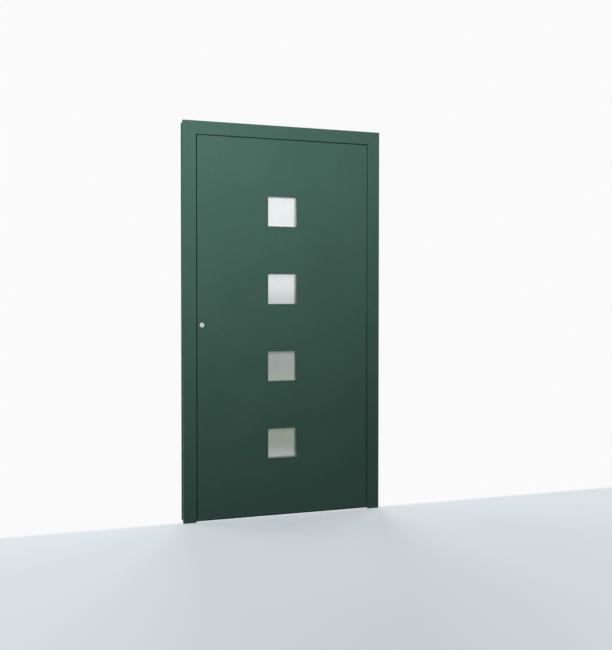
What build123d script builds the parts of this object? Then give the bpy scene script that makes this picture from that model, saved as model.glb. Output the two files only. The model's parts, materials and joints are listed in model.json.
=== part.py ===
from build123d import *
from math import cos, radians, sin, sqrt
import os

os.makedirs("parts", exist_ok=True)

# A flush aluminium front door in its frame, in millimetres. It opens inwards.
# +Z is up, -Y faces outdoors, +X is the hinge side. The origin is on the floor,
# at the middle of the frame's width and depth.

# Overall sizes
FRAME_WIDTH = 1100.0
FRAME_HEIGHT = 2100.0
DEPTH = 80.0
JAMB_FACE = 69.0
GAP = 5.0
STEP = 20.0
LEAF_BOTTOM = 11.0

# Aluminium chambers and the insulating bars between them
WALL = 2.0
FRAME_OUTER_SHELL = 26.0
INNER_SHELL_STEP = 0.5
SEAL_SPACE = 6.0
LIP = 3.0
HARDWARE_GROOVE = 24.5
LEAF_PROFILE = 84.0
THIN_BAR = 3.0
THICK_BAR = 5.0
FRAME_BAR_EDGES = (9.0, 5.5)
LEAF_BAR_EDGES = (4.0, 6.0)
LEDGE = 2.0
BAR_SHOULDER = 2.0
BAR_HEAD = 2.5
BAR_NECK = 1.0
BOSS_WALL = 1.5
SEAT = 0.05
CLEAT_LEG = 105.0
CLEAT_FIT = 0.2

# Leaf panel
SKIN = 3.0
WINDOW = 160.0
WINDOW_PITCH = 416.0
WINDOW_COUNT = 4
WINDOW_SHIFT = -12.0

# Window units
UNIT_BORDER = 15.0
OUTER_PANE = 6.0
MIDDLE_PANE = 4.0
INNER_PANE = 6.0
SPACER_DEPTH = 17.0
SPACER_WIDTH = 9.0
SPACER_INSET = 4.0
TAPE = 3.0
TAPE_WIDTH = 11.0
UNIT_PLAY = 2.0
BEAD_WALL = 3.0
BEAD_FLANGE = 11.0
BEAD_PLATE = 2.0
BEAD_INSET = 2.0

# Threshold and drop seal
THRESHOLD = 8.0
THRESHOLD_DRAIN = 2.0
THRESHOLD_PLAY = 0.2
SEAL_CASE_WIDTH = 20.0
SEAL_CASE_HEIGHT = 30.0
SEAL_CASE_WALL = 1.5
SEAL_INSET = 1.0
SEAL_END = 6.0
SEAL_BAR = (3.0, 15.0)
SEAL_BAR_WALL = 3.0
SEAL_BAR_GROOVE = 8.0
SEAL_UNDER_BAR = 10.0
SEAL_CLEAR = 0.3

# Frame gasket
GASKET_INSET = 9.0
GASKET_NECK = 3.0
GASKET_WALL = 1.1

# Lock
BACKSET = 45.0
LOCK_HEIGHT = 1036.0
HANDLE_ABOVE = 94.0
LATCH_ABOVE = 22.0
LATCH_HEIGHT = 32.0
LATCH_THROW = 12.0
DEADBOLT_ABOVE = 39.0
DEADBOLT_HEIGHT = 34.0
DEADBOLT_INSET = 0.3
DEADBOLT_NOSE = 1.5
BOLT_THICK = 11.6
FOREND = 3.0
PLATE_PLAY = 0.5
FOREND_PAST_HOOK = 190.0
FOREND_END_SCREW = 12.0
FOREND_HOOK_SCREWS = (70.0, 50.0)
CASE_DEPTH = 65.0
CASE_THICK = 16.0
CASE_WALL = 2.0
CASE_MARGIN = 60.0
CASE_ROOM = 2.0
MORTISE_PLAY = 0.1
PLAY = 0.4
RUNNING = 0.05
CAM_RADIUS = 17.2
CAM_START = 0.15
HUB_RADIUS = 12.0
HUB_JOURNAL = 9.0
FINGER_THICK = 5.0
FINGER_ROLL = 0.9
FINGER_BACK = ((-6.0, 21.0), (-8.0, 6.0), (2.0, 6.0))
TAIL_CLEAR = 0.6
LATCH_ROOT = 2.0
LATCH_TIP = 3.0
LUG = 4.5
LUG_LOW = 14.0
LUG_HIGH = 25.0
LUG_CLEAR = 0.1
TAIL_ABOVE_LATCH = 12.0

# Hooks
HOOK_LOW = 400.0
HOOK_BELOW_TOP = 330.0
HOOK_PIVOT = 18.0
HOOK_THICK = 8.0
HOOK_INNER = 29.0
HOOK_OUTER = 37.0
HOOK_ARM = 9.0
HOOK_HUB = 9.0
HOOK_NOSE = 22.0
HOOK_PIN = 4.0
HOOK_DIP = 7.0
HOOK_ARM_END = 35.0
HOOK_PLAY = 2.0
HOOK_SIDE_PLAY = 1.0
HOOK_CASE = (42.0, 14.0)
HOOK_CASE_BACK = 16.0
ROD_THICK = 3.0
ROD_WIDTH = 10.0
ROD_TRAVEL = 18.0
ROD_CLEAR = 0.1

# Strikes and latch keeper
STRIKE = 3.0
STRIKE_PLAY = 1.5
STRIKE_ROOM = 10.0
POCKET_PLAY = 2.0
MAIN_STRIKE_PAST = (65.0, 62.0)
HOOK_STRIKE_PAST = (75.0, 55.0)
STRIKE_SCREW = 15.0
KEEPER_THICK = 5.0
KEEPER_LENGTH = 12.0
KEEPER_SETBACK = 13.0
KEEPER_PIN = 2.0
KEEPER_CLEAR = 1.75
KEEPER_MARGIN = 2.0
HOUSING_WALL = 2.5
HOUSING_CHEEK = 5.0
LATCH_ROOM = 3.0

# Cylinder and thumb turn
CYLINDER_RADIUS = 11.0
CYLINDER_PROUD = 3.0
CYLINDER_SHORT = 0.1
COLLAR_RADIUS = 12.3
COLLAR_PROUD = 2.0
PLUG_RADIUS = 6.5
KEYWAY = (2.4, 9.0, 20.0)
DRIVE_RADIUS = 10.0
DRIVE_REACH = 15.0
DRIVE_WIDTH = 8.0
TAIL = (2.5, 6.0)
TAIL_PLAY = 0.05
TAIL_PAST_CASE = 10.0
ROSE_RADIUS = 26.5
ROSE = 8.0
TURN_SHAFT = 9.0
TURN_NECK = 6.0
TURN_STEP = 6.0
TURN_PROUD = 3.0
TURN_KNOB = (34.0, 13.0, 20.0)
SOFT_EDGE = 2.0

# Lever handle
SPINDLE = 8.0
SPINDLE_PLAY = 0.1
SPINDLE_BORE = 8.0
SPINDLE_SOCKET = 30.0
LEVER_RADIUS = 9.5
LEVER_REACH = 50.0
LEVER_LENGTH = 126.0
LEVER_BEND = 16.0
LEVER_END = 3.0
LEVER_OFF_FACE = 1.0

# Hinges
HINGE_LOW = 230.0
HINGE_BELOW_TOP = 250.0
HINGE_OFFSET = 13.0
KNUCKLE_RADIUS = 10.0
KNUCKLE = 40.0
KNUCKLE_CLEAR = 0.5
PIN_RADIUS = 5.0
BUSH = 2.0
WING = 6.0
WING_WIDTH = 42.0
WING_SETBACK = 8.0
WING_SCREWS = (-42.0, 0.0, 42.0)
NECK = (3.0, 16.0)
NECK_PAST_AXIS = 4.0
NECK_OFF_FACE = 1.0
PIN_SHORT = 1.0
CAP = 3.0
SCREW_RADIUS = 2.75
SCREW_HEAD = 5.5
SCREW_HEAD_HEIGHT = 3.0
SCREW_LENGTH = 16.0
HOLE_PLAY = 0.25

# Holes for the wall fixings
FIXING_RADIUS = 4.25
FIXING_END = 200.0
FIXING_SPACES = 3

# How far a cutting shape passes the surfaces it opens
CUT = 1.0

# Places worked out from the sizes above
X_OUTER = FRAME_WIDTH / 2
X_LEG = X_OUTER - JAMB_FACE
X_FACE = X_LEG - GAP
X_LEAF = X_FACE + STEP
X_REBATE = X_LEAF + GAP
X_PROFILE = X_LEAF - LEAF_PROFILE
Z_LEG = FRAME_HEIGHT - JAMB_FACE
Z_FACE = Z_LEG - GAP
Z_LEAF = Z_FACE + STEP
Y_OUT = -DEPTH / 2
Y_IN = DEPTH / 2
Y_FRAME_A = Y_OUT + FRAME_OUTER_SHELL
Y_LIP = Y_FRAME_A + SEAL_SPACE
Y_LEAF_A = Y_LIP + LIP
Y_LEAF_B = Y_LEAF_A + HARDWARE_GROOVE
Y_FRAME_B = Y_LEAF_B + INNER_SHELL_STEP
Y_LOCK = (Y_LEAF_A + Y_LEAF_B) / 2
Y_CASE = (Y_LOCK - CASE_THICK / 2, Y_LOCK + CASE_THICK / 2)
Y_CAVITY = (Y_CASE[0] + CASE_WALL, Y_CASE[1] - CASE_WALL)
Y_BOLT = (Y_LOCK - BOLT_THICK / 2, Y_LOCK + BOLT_THICK / 2)
Y_FINGER = (Y_BOLT[0], Y_BOLT[0] + FINGER_THICK)
Y_TAIL = (Y_FINGER[1] + 2 * TAIL_CLEAR, Y_BOLT[1] - TAIL_CLEAR)
PLATE_WIDTH = HARDWARE_GROOVE - PLATE_PLAY
INNER_WIDTH = JAMB_FACE - STEP
FRAME_BARS = ((FRAME_BAR_EDGES[0], THIN_BAR), (INNER_WIDTH - FRAME_BAR_EDGES[1], THICK_BAR))
LEAF_BARS = ((STEP + LEAF_BAR_EDGES[0], THIN_BAR), (LEAF_PROFILE - LEAF_BAR_EDGES[1], THIN_BAR))
GASKET_AT = JAMB_FACE - GASKET_INSET
X_LOCK = -X_LEAF + BACKSET
X_CASE = (-X_LEAF + FOREND, -X_LEAF + CASE_DEPTH + FOREND)
HANDLE_HEIGHT = LOCK_HEIGHT + HANDLE_ABOVE
LATCH_Z = HANDLE_HEIGHT + LATCH_ABOVE
DEADBOLT_Z = LOCK_HEIGHT + DEADBOLT_ABOVE
Z_CASE = (LOCK_HEIGHT - CASE_MARGIN, HANDLE_HEIGHT + CASE_MARGIN)
HOOK_HEIGHTS = (HOOK_LOW, Z_LEAF - HOOK_BELOW_TOP)
X_HOOK = -X_LEAF + HOOK_PIVOT
X_LATCH_TIP = -X_LEAF - LATCH_THROW
X_KEEPER = -X_REBATE - KEEPER_SETBACK
Y_KEEPER = Y_BOLT[1] + KEEPER_CLEAR + KEEPER_THICK / 2
Y_STRIKE = (Y_LOCK - PLATE_WIDTH / 2, Y_LOCK + PLATE_WIDTH / 2)
KEEPER_HALF = LATCH_HEIGHT / 2 + KEEPER_MARGIN
HOUSING_HALF = KEEPER_HALF + HOUSING_WALL
X_HOUSING = X_KEEPER - KEEPER_THICK / 2 - PLAY - HOUSING_WALL
X_AXIS = (X_LEAF + X_REBATE) / 2
Y_AXIS = Y_IN + HINGE_OFFSET
HINGE_TOP = FRAME_HEIGHT - HINGE_BELOW_TOP
HINGE_HEIGHTS = (HINGE_LOW, (HINGE_LOW + HINGE_TOP) / 2, HINGE_TOP)
X_FRAME_WING = X_AXIS + WING_SETBACK + WING_WIDTH / 2
X_LEAF_WING = X_AXIS - WING_SETBACK - WING_WIDTH / 2
Y_WING = (Y_IN, Y_IN + WING)
WINDOW_MIDDLE = (LEAF_BOTTOM + Z_FACE) / 2
WINDOW_HEIGHTS = [
    WINDOW_MIDDLE + (i - (WINDOW_COUNT - 1) / 2) * WINDOW_PITCH for i in range(WINDOW_COUNT)
]
UNIT = WINDOW + 2 * UNIT_BORDER
UNIT_HOLE = UNIT + 2 * UNIT_PLAY
Z_RAIL = LEAF_BOTTOM + LEAF_PROFILE
GROOVE = BAR_NECK + BAR_HEAD + BOSS_WALL


def save(name, *shapes):
    """Write the shapes' solids as one part file."""
    solids = [solid for shape in shapes for solid in shape.solids()]
    shape = solids[0] if len(solids) == 1 else Compound(children=solids)
    export_step(shape, f"parts/{name}.step")


def block(x, y, z):
    """A box from three pairs of limits."""
    size = [abs(pair[1] - pair[0]) for pair in (x, y, z)]
    middle = [(pair[0] + pair[1]) / 2 for pair in (x, y, z)]
    return Pos(*middle) * Box(*size)


def turned(axis, centre, radius, span):
    """A cylinder along "x", "y" or "z" over a span; centre gives the other two coordinates."""
    length = span[1] - span[0]
    middle = (span[0] + span[1]) / 2
    if axis == "x":
        place = Pos(middle, centre[0], centre[1]) * Rot(0, 90, 0)
    elif axis == "y":
        place = Pos(centre[0], middle, centre[1]) * Rot(90, 0, 0)
    else:
        place = Pos(centre[0], centre[1], middle)
    return place * Cylinder(radius, length)


def rectangle(u, v):
    """A sketch rectangle from two pairs of limits."""
    return Pos((u[0] + u[1]) / 2, (v[0] + v[1]) / 2) * Rectangle(abs(u[1] - u[0]), abs(v[1] - v[0]))


def square_ring(x, z, outer, inner, y):
    """A flat square ring in the plane of the door."""
    whole = block((x - outer / 2, x + outer / 2), y, (z - outer / 2, z + outer / 2))
    hole = block((x - inner / 2, x + inner / 2), (y[0] - CUT, y[1] + CUT), (z - inner / 2, z + inner / 2))
    return whole - hole


def standing(profile, bottom, top):
    """Extrude a lock-side profile upwards: its x is the door's x, its y the door's y."""
    return extrude(Plane.XY.offset(bottom) * profile, top - bottom)


def lying(profile, x_from, x_to, top):
    """Extrude a profile along the door's width, with the profile's x running down from top."""
    plane = Plane(origin=(x_from, 0, top), x_dir=(0, 0, -1), z_dir=(1, 0, 0))
    return extrude(plane * profile, x_to - x_from)


LOCK_MITRE = Plane(origin=(-X_OUTER, 0, FRAME_HEIGHT), z_dir=(1, 0, 1))
HINGE_MITRE = Plane(origin=(X_OUTER, 0, FRAME_HEIGHT), z_dir=(-1, 0, 1))


def mitred_post(profile, bottom, top):
    """A lock-side upright, cut at 45 degrees where it meets the top member."""
    return split(standing(profile, bottom, top), bisect_by=LOCK_MITRE, keep=Keep.BOTTOM)


def mitred_head(profile, half, top):
    """A top member, cut at 45 degrees at both ends."""
    bar = lying(profile, -half, half, top)
    bar = split(bar, bisect_by=LOCK_MITRE, keep=Keep.TOP)
    return split(bar, bisect_by=HINGE_MITRE, keep=Keep.TOP)


def to_hinge_side(shape):
    """The same shape mirrored to the other side of the door."""
    return mirror(shape, about=Plane.YZ)


# Profiles: u runs from the member's outer edge towards the doorway, v is the door's y

def dovetail(u, web, edge, into, fit):
    """The foot of an insulating bar or gasket, sunk into a chamber wall at v = edge."""
    neck = rectangle((u - web / 2 - fit, u + web / 2 + fit), (edge, edge + into * BAR_NECK))
    half = web / 2 + BAR_SHOULDER / 2 + fit
    head = rectangle(
        (u - half, u + half), (edge + into * (BAR_NECK - fit), edge + into * (BAR_NECK + BAR_HEAD + fit))
    )
    return neck + head


def boss(u, web, edge, into):
    """The thicker wall around a dovetail groove."""
    half = web / 2 + BAR_SHOULDER / 2 + BOSS_WALL
    return rectangle((u - half, u + half), (edge, edge + into * GROOVE))


def chamber(u, v, feet):
    """A hollow chamber; feet lists (u, web, edge, into) of each groove it carries."""
    inside = rectangle((u[0] + WALL, u[1] - WALL), (v[0] + WALL, v[1] - WALL))
    section = rectangle(u, v) - inside
    for foot in feet:
        section += boss(*foot)
    for foot in feet:
        section -= dovetail(*foot, SEAT)
    return section


def bar_profile(u, web, low, high):
    """An insulating bar with a foot in the chamber on each side."""
    strip = rectangle((u - web / 2, u + web / 2), (low, high))
    return strip + dovetail(u, web, low, -1, 0) + dovetail(u, web, high, 1, 0)


def shifted(profile, start):
    """The profile moved along its u."""
    return Pos(start, 0) * profile


FRAME_OUTER = chamber(
    (0, JAMB_FACE),
    (Y_OUT, Y_FRAME_A),
    [(u, web, Y_FRAME_A, -1) for u, web in FRAME_BARS] + [(GASKET_AT, GASKET_NECK, Y_FRAME_A, -1)],
)
FRAME_INNER = chamber((0, INNER_WIDTH), (Y_FRAME_B, Y_IN), [(u, web, Y_FRAME_B, 1) for u, web in FRAME_BARS])
LEAF_LIP = rectangle((0, STEP + WALL / 2), (Y_LIP, Y_LEAF_A)) + rectangle(
    (FOREND, FOREND + WALL), (Y_LIP, Y_LEAF_A + LEDGE)
)
LEAF_OUTER = (
    chamber(
        (STEP, LEAF_PROFILE),
        (Y_OUT + SKIN, Y_LEAF_A),
        [(u, web, Y_LEAF_A, -1) for u, web in LEAF_BARS],
    )
    + LEAF_LIP
)
LEAF_INNER = chamber(
    (0, LEAF_PROFILE), (Y_LEAF_B, Y_IN - SKIN), [(u, web, Y_LEAF_B, 1) for u, web in LEAF_BARS]
) + rectangle((FOREND, FOREND + WALL), (Y_LEAF_B - LEDGE, Y_LEAF_B))


def gasket_profile():
    """A hollow bulb on a neck and foot, 0.3 mm short of the leaf's lip."""
    radius = (SEAL_SPACE - SEAL_CLEAR) / 2
    bulb = Circle(radius) - Circle(radius - GASKET_WALL)
    half = GASKET_NECK / 2
    neck = rectangle((GASKET_AT - half, GASKET_AT + half), (Y_FRAME_A, Y_FRAME_A + GASKET_WALL))
    foot = dovetail(GASKET_AT, GASKET_NECK, Y_FRAME_A, -1, 0)
    return Pos(GASKET_AT, Y_FRAME_A + radius) * bulb + neck + foot


def cleat(start, top, u, v):
    """An L-shaped corner cleat that fills a chamber around the lock-side top corner."""
    left = start + u[0] + CLEAT_FIT
    high = top - u[0] - CLEAT_FIT
    width = u[1] - u[0] - 2 * CLEAT_FIT
    y = (v[0] + CLEAT_FIT, v[1] - CLEAT_FIT)
    upright = block((left, left + width), y, (high - CLEAT_LEG, high))
    across = block((left, left + CLEAT_LEG), y, (high - width, high))
    hollow = block(
        (left + BEAD_WALL * 2, left + width - BEAD_WALL * 2),
        (y[0] - CUT, y[1] + CUT),
        (high - width + BEAD_WALL * 2, high - BEAD_WALL * 2),
    )
    return upright + across - hollow


def hinge_screw_heights():
    """Heights of all the wing screws."""
    return [z + dz for z in HINGE_HEIGHTS for dz in WING_SCREWS]



def drill_wing(shape, x, bottom):
    """Screw holes behind a hinge wing, from y = bottom to the inner face."""
    for z in hinge_screw_heights():
        shape -= turned("y", (x, z), SCREW_RADIUS + HOLE_PLAY, (bottom, Y_IN + CUT))
    return shape


def fixing_heights():
    """Heights of the wall fixings, evenly spaced between the two end ones."""
    pitch = (FRAME_HEIGHT - 2 * FIXING_END) / FIXING_SPACES
    return [FIXING_END + i * pitch for i in range(FIXING_SPACES + 1)]


def drill_fixings(shape):
    """Holes right through a lock-side inner chamber, for the screws into the wall."""
    middle = (Y_FRAME_B + GROOVE + Y_IN - WALL) / 2
    for z in fixing_heights():
        shape -= turned("x", (middle, z), FIXING_RADIUS, (-X_OUTER - CUT, -X_REBATE + CUT))
    return shape


# Places in the lock jamb where bolts enter and the keeper sits

def keeper_pocket():
    """Room for the keeper housing, and the way out for the latch towards the room."""
    housing = block(
        (X_HOUSING - CUT, -X_REBATE + CUT),
        (Y_FRAME_B - CUT, Y_IN - WALL - PLAY),
        (LATCH_Z - HOUSING_HALF - PLAY, LATCH_Z + HOUSING_HALF + PLAY),
    )
    way_out = block(
        (X_LATCH_TIP - LATCH_ROOM, -X_REBATE + CUT),
        (Y_FRAME_B - CUT, Y_IN + CUT),
        (LATCH_Z - KEEPER_HALF, LATCH_Z + KEEPER_HALF),
    )
    return housing + way_out


def hook_window(height, x, depth, above):
    """Room for one hook to swing through a plate that is depth in front of its pivot."""
    below = sqrt(HOOK_OUTER**2 - depth**2) + HOOK_PLAY
    y = (Y_LOCK - HOOK_THICK / 2 - HOOK_SIDE_PLAY, Y_LOCK + HOOK_THICK / 2 + HOOK_SIDE_PLAY)
    return block(x, y, (height - below, height + above + HOOK_PLAY))


def bar_pockets():
    """Cuts in the frame's insulating bar behind the strikes."""
    x = (-X_REBATE - STRIKE_ROOM, -X_REBATE + CUT)
    y = (Y_BOLT[0] - POCKET_PLAY, Y_BOLT[1] + POCKET_PLAY)
    half = DEADBOLT_HEIGHT / 2 + STRIKE_PLAY
    cuts = block(x, y, (DEADBOLT_Z - half, DEADBOLT_Z + half))
    housing = (LATCH_Z - HOUSING_HALF - PLAY, LATCH_Z + HOUSING_HALF + PLAY)
    cuts += block(x, (y[0], Y_FRAME_B + GROOVE), housing)
    nose = HOOK_OUTER * sin(radians(HOOK_NOSE))
    for height in HOOK_HEIGHTS:
        cuts += hook_window(height, x, HOOK_PIVOT + GAP, nose)
    return cuts


def frame_members():
    """The two jambs and the head, each an outer and an inner chamber."""
    lock_start = -X_OUTER
    outer = mitred_post(shifted(FRAME_OUTER, lock_start), 0, FRAME_HEIGHT)
    inner = mitred_post(shifted(FRAME_INNER, lock_start), 0, FRAME_HEIGHT)
    inner = drill_fixings(inner)
    save("lock_jamb", outer, inner - keeper_pocket())
    hinge_inner = drill_wing(to_hinge_side(inner), X_FRAME_WING, Y_IN - WALL - CUT)
    save("hinge_jamb", to_hinge_side(outer), hinge_inner)
    head_outer = mitred_head(FRAME_OUTER, X_OUTER, FRAME_HEIGHT)
    head_inner = mitred_head(FRAME_INNER, X_OUTER, FRAME_HEIGHT)
    save("head", head_outer, head_inner)


def frame_bars():
    """The insulating bars that hold the frame's outer and inner chambers together."""
    bars = []
    for u, web in FRAME_BARS:
        profile = bar_profile(u, web, Y_FRAME_A, Y_FRAME_B)
        post = mitred_post(shifted(profile, -X_OUTER), 0, FRAME_HEIGHT)
        bars += [post - bar_pockets(), to_hinge_side(post), mitred_head(profile, X_OUTER, FRAME_HEIGHT)]
    save("frame_insulating_bars", *bars)


def frame_cleats():
    """Corner cleats in the chambers of both upper corners."""
    outer = cleat(-X_OUTER, FRAME_HEIGHT, (WALL, JAMB_FACE - WALL), (Y_OUT + WALL, Y_FRAME_A - GROOVE))
    inner = cleat(-X_OUTER, FRAME_HEIGHT, (WALL, INNER_WIDTH - WALL), (Y_FRAME_B + GROOVE, Y_IN - WALL))
    save("frame_corner_cleats", outer, inner, to_hinge_side(outer), to_hinge_side(inner))


def frame_gasket():
    """The bulb gasket around both sides and the top."""
    profile = gasket_profile()
    post = mitred_post(shifted(profile, -X_OUTER), THRESHOLD + SEAL_CLEAR, FRAME_HEIGHT)
    save("frame_gasket", post, to_hinge_side(post), mitred_head(profile, X_OUTER, FRAME_HEIGHT))


def threshold():
    """Two aluminium rails with an insulating middle, low enough to walk over."""
    play = THRESHOLD_PLAY
    outline = Polyline(
        (Y_OUT, 0),
        (Y_FRAME_A, 0),
        (Y_FRAME_A, THRESHOLD),
        (Y_OUT, THRESHOLD - THRESHOLD_DRAIN),
        close=True,
    )
    plane = Plane(origin=(-X_LEG + play, 0, 0), x_dir=(0, 1, 0), z_dir=(1, 0, 0))
    outer = extrude(plane * make_face(outline), 2 * (X_LEG - play))
    inner = block((-X_REBATE + play, X_REBATE - play), (Y_FRAME_B, Y_IN), (0, THRESHOLD))
    seat = X_REBATE + STRIKE - play
    middle = block((-seat, seat), (Y_FRAME_A + play, Y_FRAME_B - play), (0, THRESHOLD))
    save("threshold_rails", outer, inner)
    save("threshold_insulator", middle)


def strike_plate(bottom, top, openings):
    """A plate on the rebate with a screw hole near each end."""
    x = (-X_REBATE - STRIKE, -X_REBATE)
    plate = block(x, Y_STRIKE, (bottom, top))
    for opening in openings:
        plate -= opening
    for z in (bottom + STRIKE_SCREW, top - STRIKE_SCREW):
        plate -= turned("x", (Y_LOCK, z), SCREW_RADIUS + HOLE_PLAY, (x[0] - CUT, x[1] + CUT))
    return plate


def main_strike():
    """The strike of the latch and deadbolt; the latch's opening runs out at the room side."""
    wide = (-X_REBATE - STRIKE - CUT, -X_REBATE + CUT)
    y = (Y_BOLT[0] - STRIKE_PLAY, Y_BOLT[1] + STRIKE_PLAY)
    half = DEADBOLT_HEIGHT / 2 + STRIKE_PLAY
    latch_way = block(wide, (y[0], Y_STRIKE[1] + CUT), (LATCH_Z - KEEPER_HALF, LATCH_Z + KEEPER_HALF))
    deadbolt_way = block(wide, y, (DEADBOLT_Z - half, DEADBOLT_Z + half))
    bottom = DEADBOLT_Z - MAIN_STRIKE_PAST[0]
    top = LATCH_Z + MAIN_STRIKE_PAST[1]
    save("main_strike", strike_plate(bottom, top, (latch_way, deadbolt_way)))


def hook_strikes():
    """One strike for each hook."""
    wide = (-X_REBATE - STRIKE - CUT, -X_REBATE + CUT)
    plates = []
    for height in HOOK_HEIGHTS:
        window = hook_window(height, wide, HOOK_PIVOT + GAP, HOOK_ARM / 2)
        bottom = height - HOOK_STRIKE_PAST[0]
        top = height + HOOK_STRIKE_PAST[1]
        plates.append(strike_plate(bottom, top, (window,)))
    save("hook_strikes", *plates)


def keeper_and_housing():
    """A pivoting keeper, folded out of the latch's way, in a channel behind the strike."""
    low = LATCH_Z - KEEPER_HALF
    high = LATCH_Z + KEEPER_HALF
    back = X_HOUSING + HOUSING_WALL
    y = (Y_BOLT[1] - HOUSING_CHEEK, Y_IN - WALL - 2 * PLAY)
    housing = block((X_HOUSING, back), (Y_BOLT[1], y[1]), (low, high))
    for z in ((low - HOUSING_WALL, low), (high, high + HOUSING_WALL)):
        housing += block((X_HOUSING, -X_REBATE - STRIKE), y, z)
    pin_hole = (low - HOUSING_WALL - CUT, high + HOUSING_WALL + CUT)
    housing -= turned("z", (X_KEEPER, Y_KEEPER), KEEPER_PIN + RUNNING, pin_hole)
    end = Y_KEEPER + KEEPER_LENGTH - KEEPER_THICK / 2
    finger_x = (X_KEEPER - KEEPER_THICK / 2, X_KEEPER + KEEPER_THICK / 2)
    finger_z = (low + PLAY, high - PLAY)
    finger = block(finger_x, (Y_KEEPER, end), finger_z)
    for y_round in (Y_KEEPER, end):
        finger += turned("z", (X_KEEPER, y_round), KEEPER_THICK / 2, finger_z)
    finger += turned("z", (X_KEEPER, Y_KEEPER), KEEPER_PIN, (low - HOUSING_WALL, high + HOUSING_WALL))
    save("keeper_housing", housing)
    save("latch_keeper", finger)


# Leaf

def lock_mortises():
    """Room for the lock case and the hook cases in the lock stile's bars."""
    y = (Y_LEAF_A + MORTISE_PLAY, Y_LEAF_B - MORTISE_PLAY)
    edge = -X_LEAF - CUT
    cuts = block((edge, X_CASE[1] + PLAY), y, (Z_CASE[0] - CASE_ROOM, Z_CASE[1] + CASE_ROOM))
    for height in HOOK_HEIGHTS:
        z = (height - HOOK_CASE[0] - CASE_ROOM, height + HOOK_CASE[1] + CASE_ROOM)
        cuts += block((edge, X_HOOK + HOOK_CASE_BACK + CASE_ROOM), y, z)
    return cuts


def seal_mortise():
    """Room for the drop seal along the leaf's lower edge."""
    half = SEAL_CASE_WIDTH / 2 + MORTISE_PLAY
    top = LEAF_BOTTOM + 2 * SEAL_INSET + SEAL_CASE_HEIGHT
    x = (-X_LEAF - CUT, X_LEAF + CUT)
    return block(x, (Y_LOCK - half, Y_LOCK + half), (LEAF_BOTTOM - CUT, top))


def lock_bore(shape):
    """A through hole for the cylinder."""
    return shape - turned("y", (X_LOCK, LOCK_HEIGHT), CYLINDER_RADIUS + HOLE_PLAY, (Y_OUT - CUT, Y_IN + CUT))


def spindle_bore(shape):
    """A hole in the inner side for the handle's spindle."""
    return shape - turned("y", (X_LOCK, HANDLE_HEIGHT), SPINDLE_BORE, (Y_LEAF_B - CUT, Y_IN + CUT))


def leaf_members():
    """The stiles and the top rail, each an outer and an inner chamber."""
    outer = mitred_post(shifted(LEAF_OUTER, -X_LEAF), LEAF_BOTTOM, Z_LEAF)
    inner = mitred_post(shifted(LEAF_INNER, -X_LEAF), LEAF_BOTTOM, Z_LEAF)
    hinge_inner = drill_wing(to_hinge_side(inner), X_LEAF_WING, Y_IN - SKIN - WALL - CUT)
    save("lock_stile", lock_bore(outer), spindle_bore(lock_bore(inner)))
    save("hinge_stile", to_hinge_side(outer), hinge_inner)
    top_outer = mitred_head(LEAF_OUTER, X_LEAF, Z_LEAF)
    top_inner = mitred_head(LEAF_INNER, X_LEAF, Z_LEAF)
    save("top_rail", top_outer, top_inner)


def bottom_rail():
    """The lower rail between the stiles; returns its bars, which leave room for the drop seal."""
    web = LEAF_BARS[0][1]
    feet = (LEAF_BARS[0][0], LEAF_PROFILE - SEAL_CASE_HEIGHT - SEAL_UNDER_BAR)
    y_outer = (Y_OUT + SKIN, Y_LEAF_A)
    y_inner = (Y_LEAF_B, Y_IN - SKIN)
    outer = chamber((0, LEAF_PROFILE), y_outer, [(u, web, Y_LEAF_A, -1) for u in feet])
    inner = chamber((0, LEAF_PROFILE), y_inner, [(u, web, Y_LEAF_B, 1) for u in feet])
    rails = [lying(profile, -X_PROFILE, X_PROFILE, Z_RAIL) for profile in (outer, inner)]
    save("bottom_rail", *rails)
    bars = [bar_profile(u, web, Y_LEAF_A, Y_LEAF_B) for u in feet]
    return [lying(profile, -X_PROFILE, X_PROFILE, Z_RAIL) for profile in bars]


def leaf_bars(rail_bars):
    """The insulating bars of the leaf, with the bottom rail's own bars."""
    bars = list(rail_bars)
    for u, web in LEAF_BARS:
        profile = bar_profile(u, web, Y_LEAF_A, Y_LEAF_B)
        post = mitred_post(shifted(profile, -X_LEAF), LEAF_BOTTOM, Z_LEAF) - seal_mortise()
        bars += [post - lock_mortises(), to_hinge_side(post), mitred_head(profile, X_LEAF, Z_LEAF)]
    save("leaf_insulating_bars", *bars)


def leaf_cleats():
    """Corner cleats in the chambers of the leaf's upper corners."""
    outer = cleat(
        -X_LEAF,
        Z_LEAF,
        (STEP + WALL, LEAF_PROFILE - WALL),
        (Y_OUT + SKIN + WALL, Y_LEAF_A - GROOVE),
    )
    inner = cleat(-X_LEAF, Z_LEAF, (WALL, LEAF_PROFILE - WALL), (Y_LEAF_B + GROOVE, Y_IN - SKIN - WALL))
    save("leaf_corner_cleats", outer, inner, to_hinge_side(outer), to_hinge_side(inner))


def skins_and_core():
    """The outer and inner sheets and the foam between, with the window openings."""
    y_outer = (Y_OUT, Y_OUT + SKIN)
    y_inner = (Y_IN - SKIN, Y_IN)
    outer = block((-X_FACE, X_FACE), y_outer, (LEAF_BOTTOM, Z_FACE))
    inner = block((-X_LEAF, X_LEAF), y_inner, (LEAF_BOTTOM, Z_LEAF))
    core = block((-X_PROFILE, X_PROFILE), (y_outer[1], y_inner[0]), (Z_RAIL, Z_LEAF - LEAF_PROFILE))
    for z in WINDOW_HEIGHTS:
        outer -= square_block(WINDOW, z, y_outer)
        inner -= square_block(UNIT_HOLE, z, y_inner)
        core -= square_block(UNIT_HOLE, z, (y_outer[1], y_inner[0]))
    save("outer_skin", lock_bore(outer))
    save("inner_skin", drill_wing(spindle_bore(lock_bore(inner)), X_LEAF_WING, Y_IN - SKIN - CUT))
    save("insulation_core", core)


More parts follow.
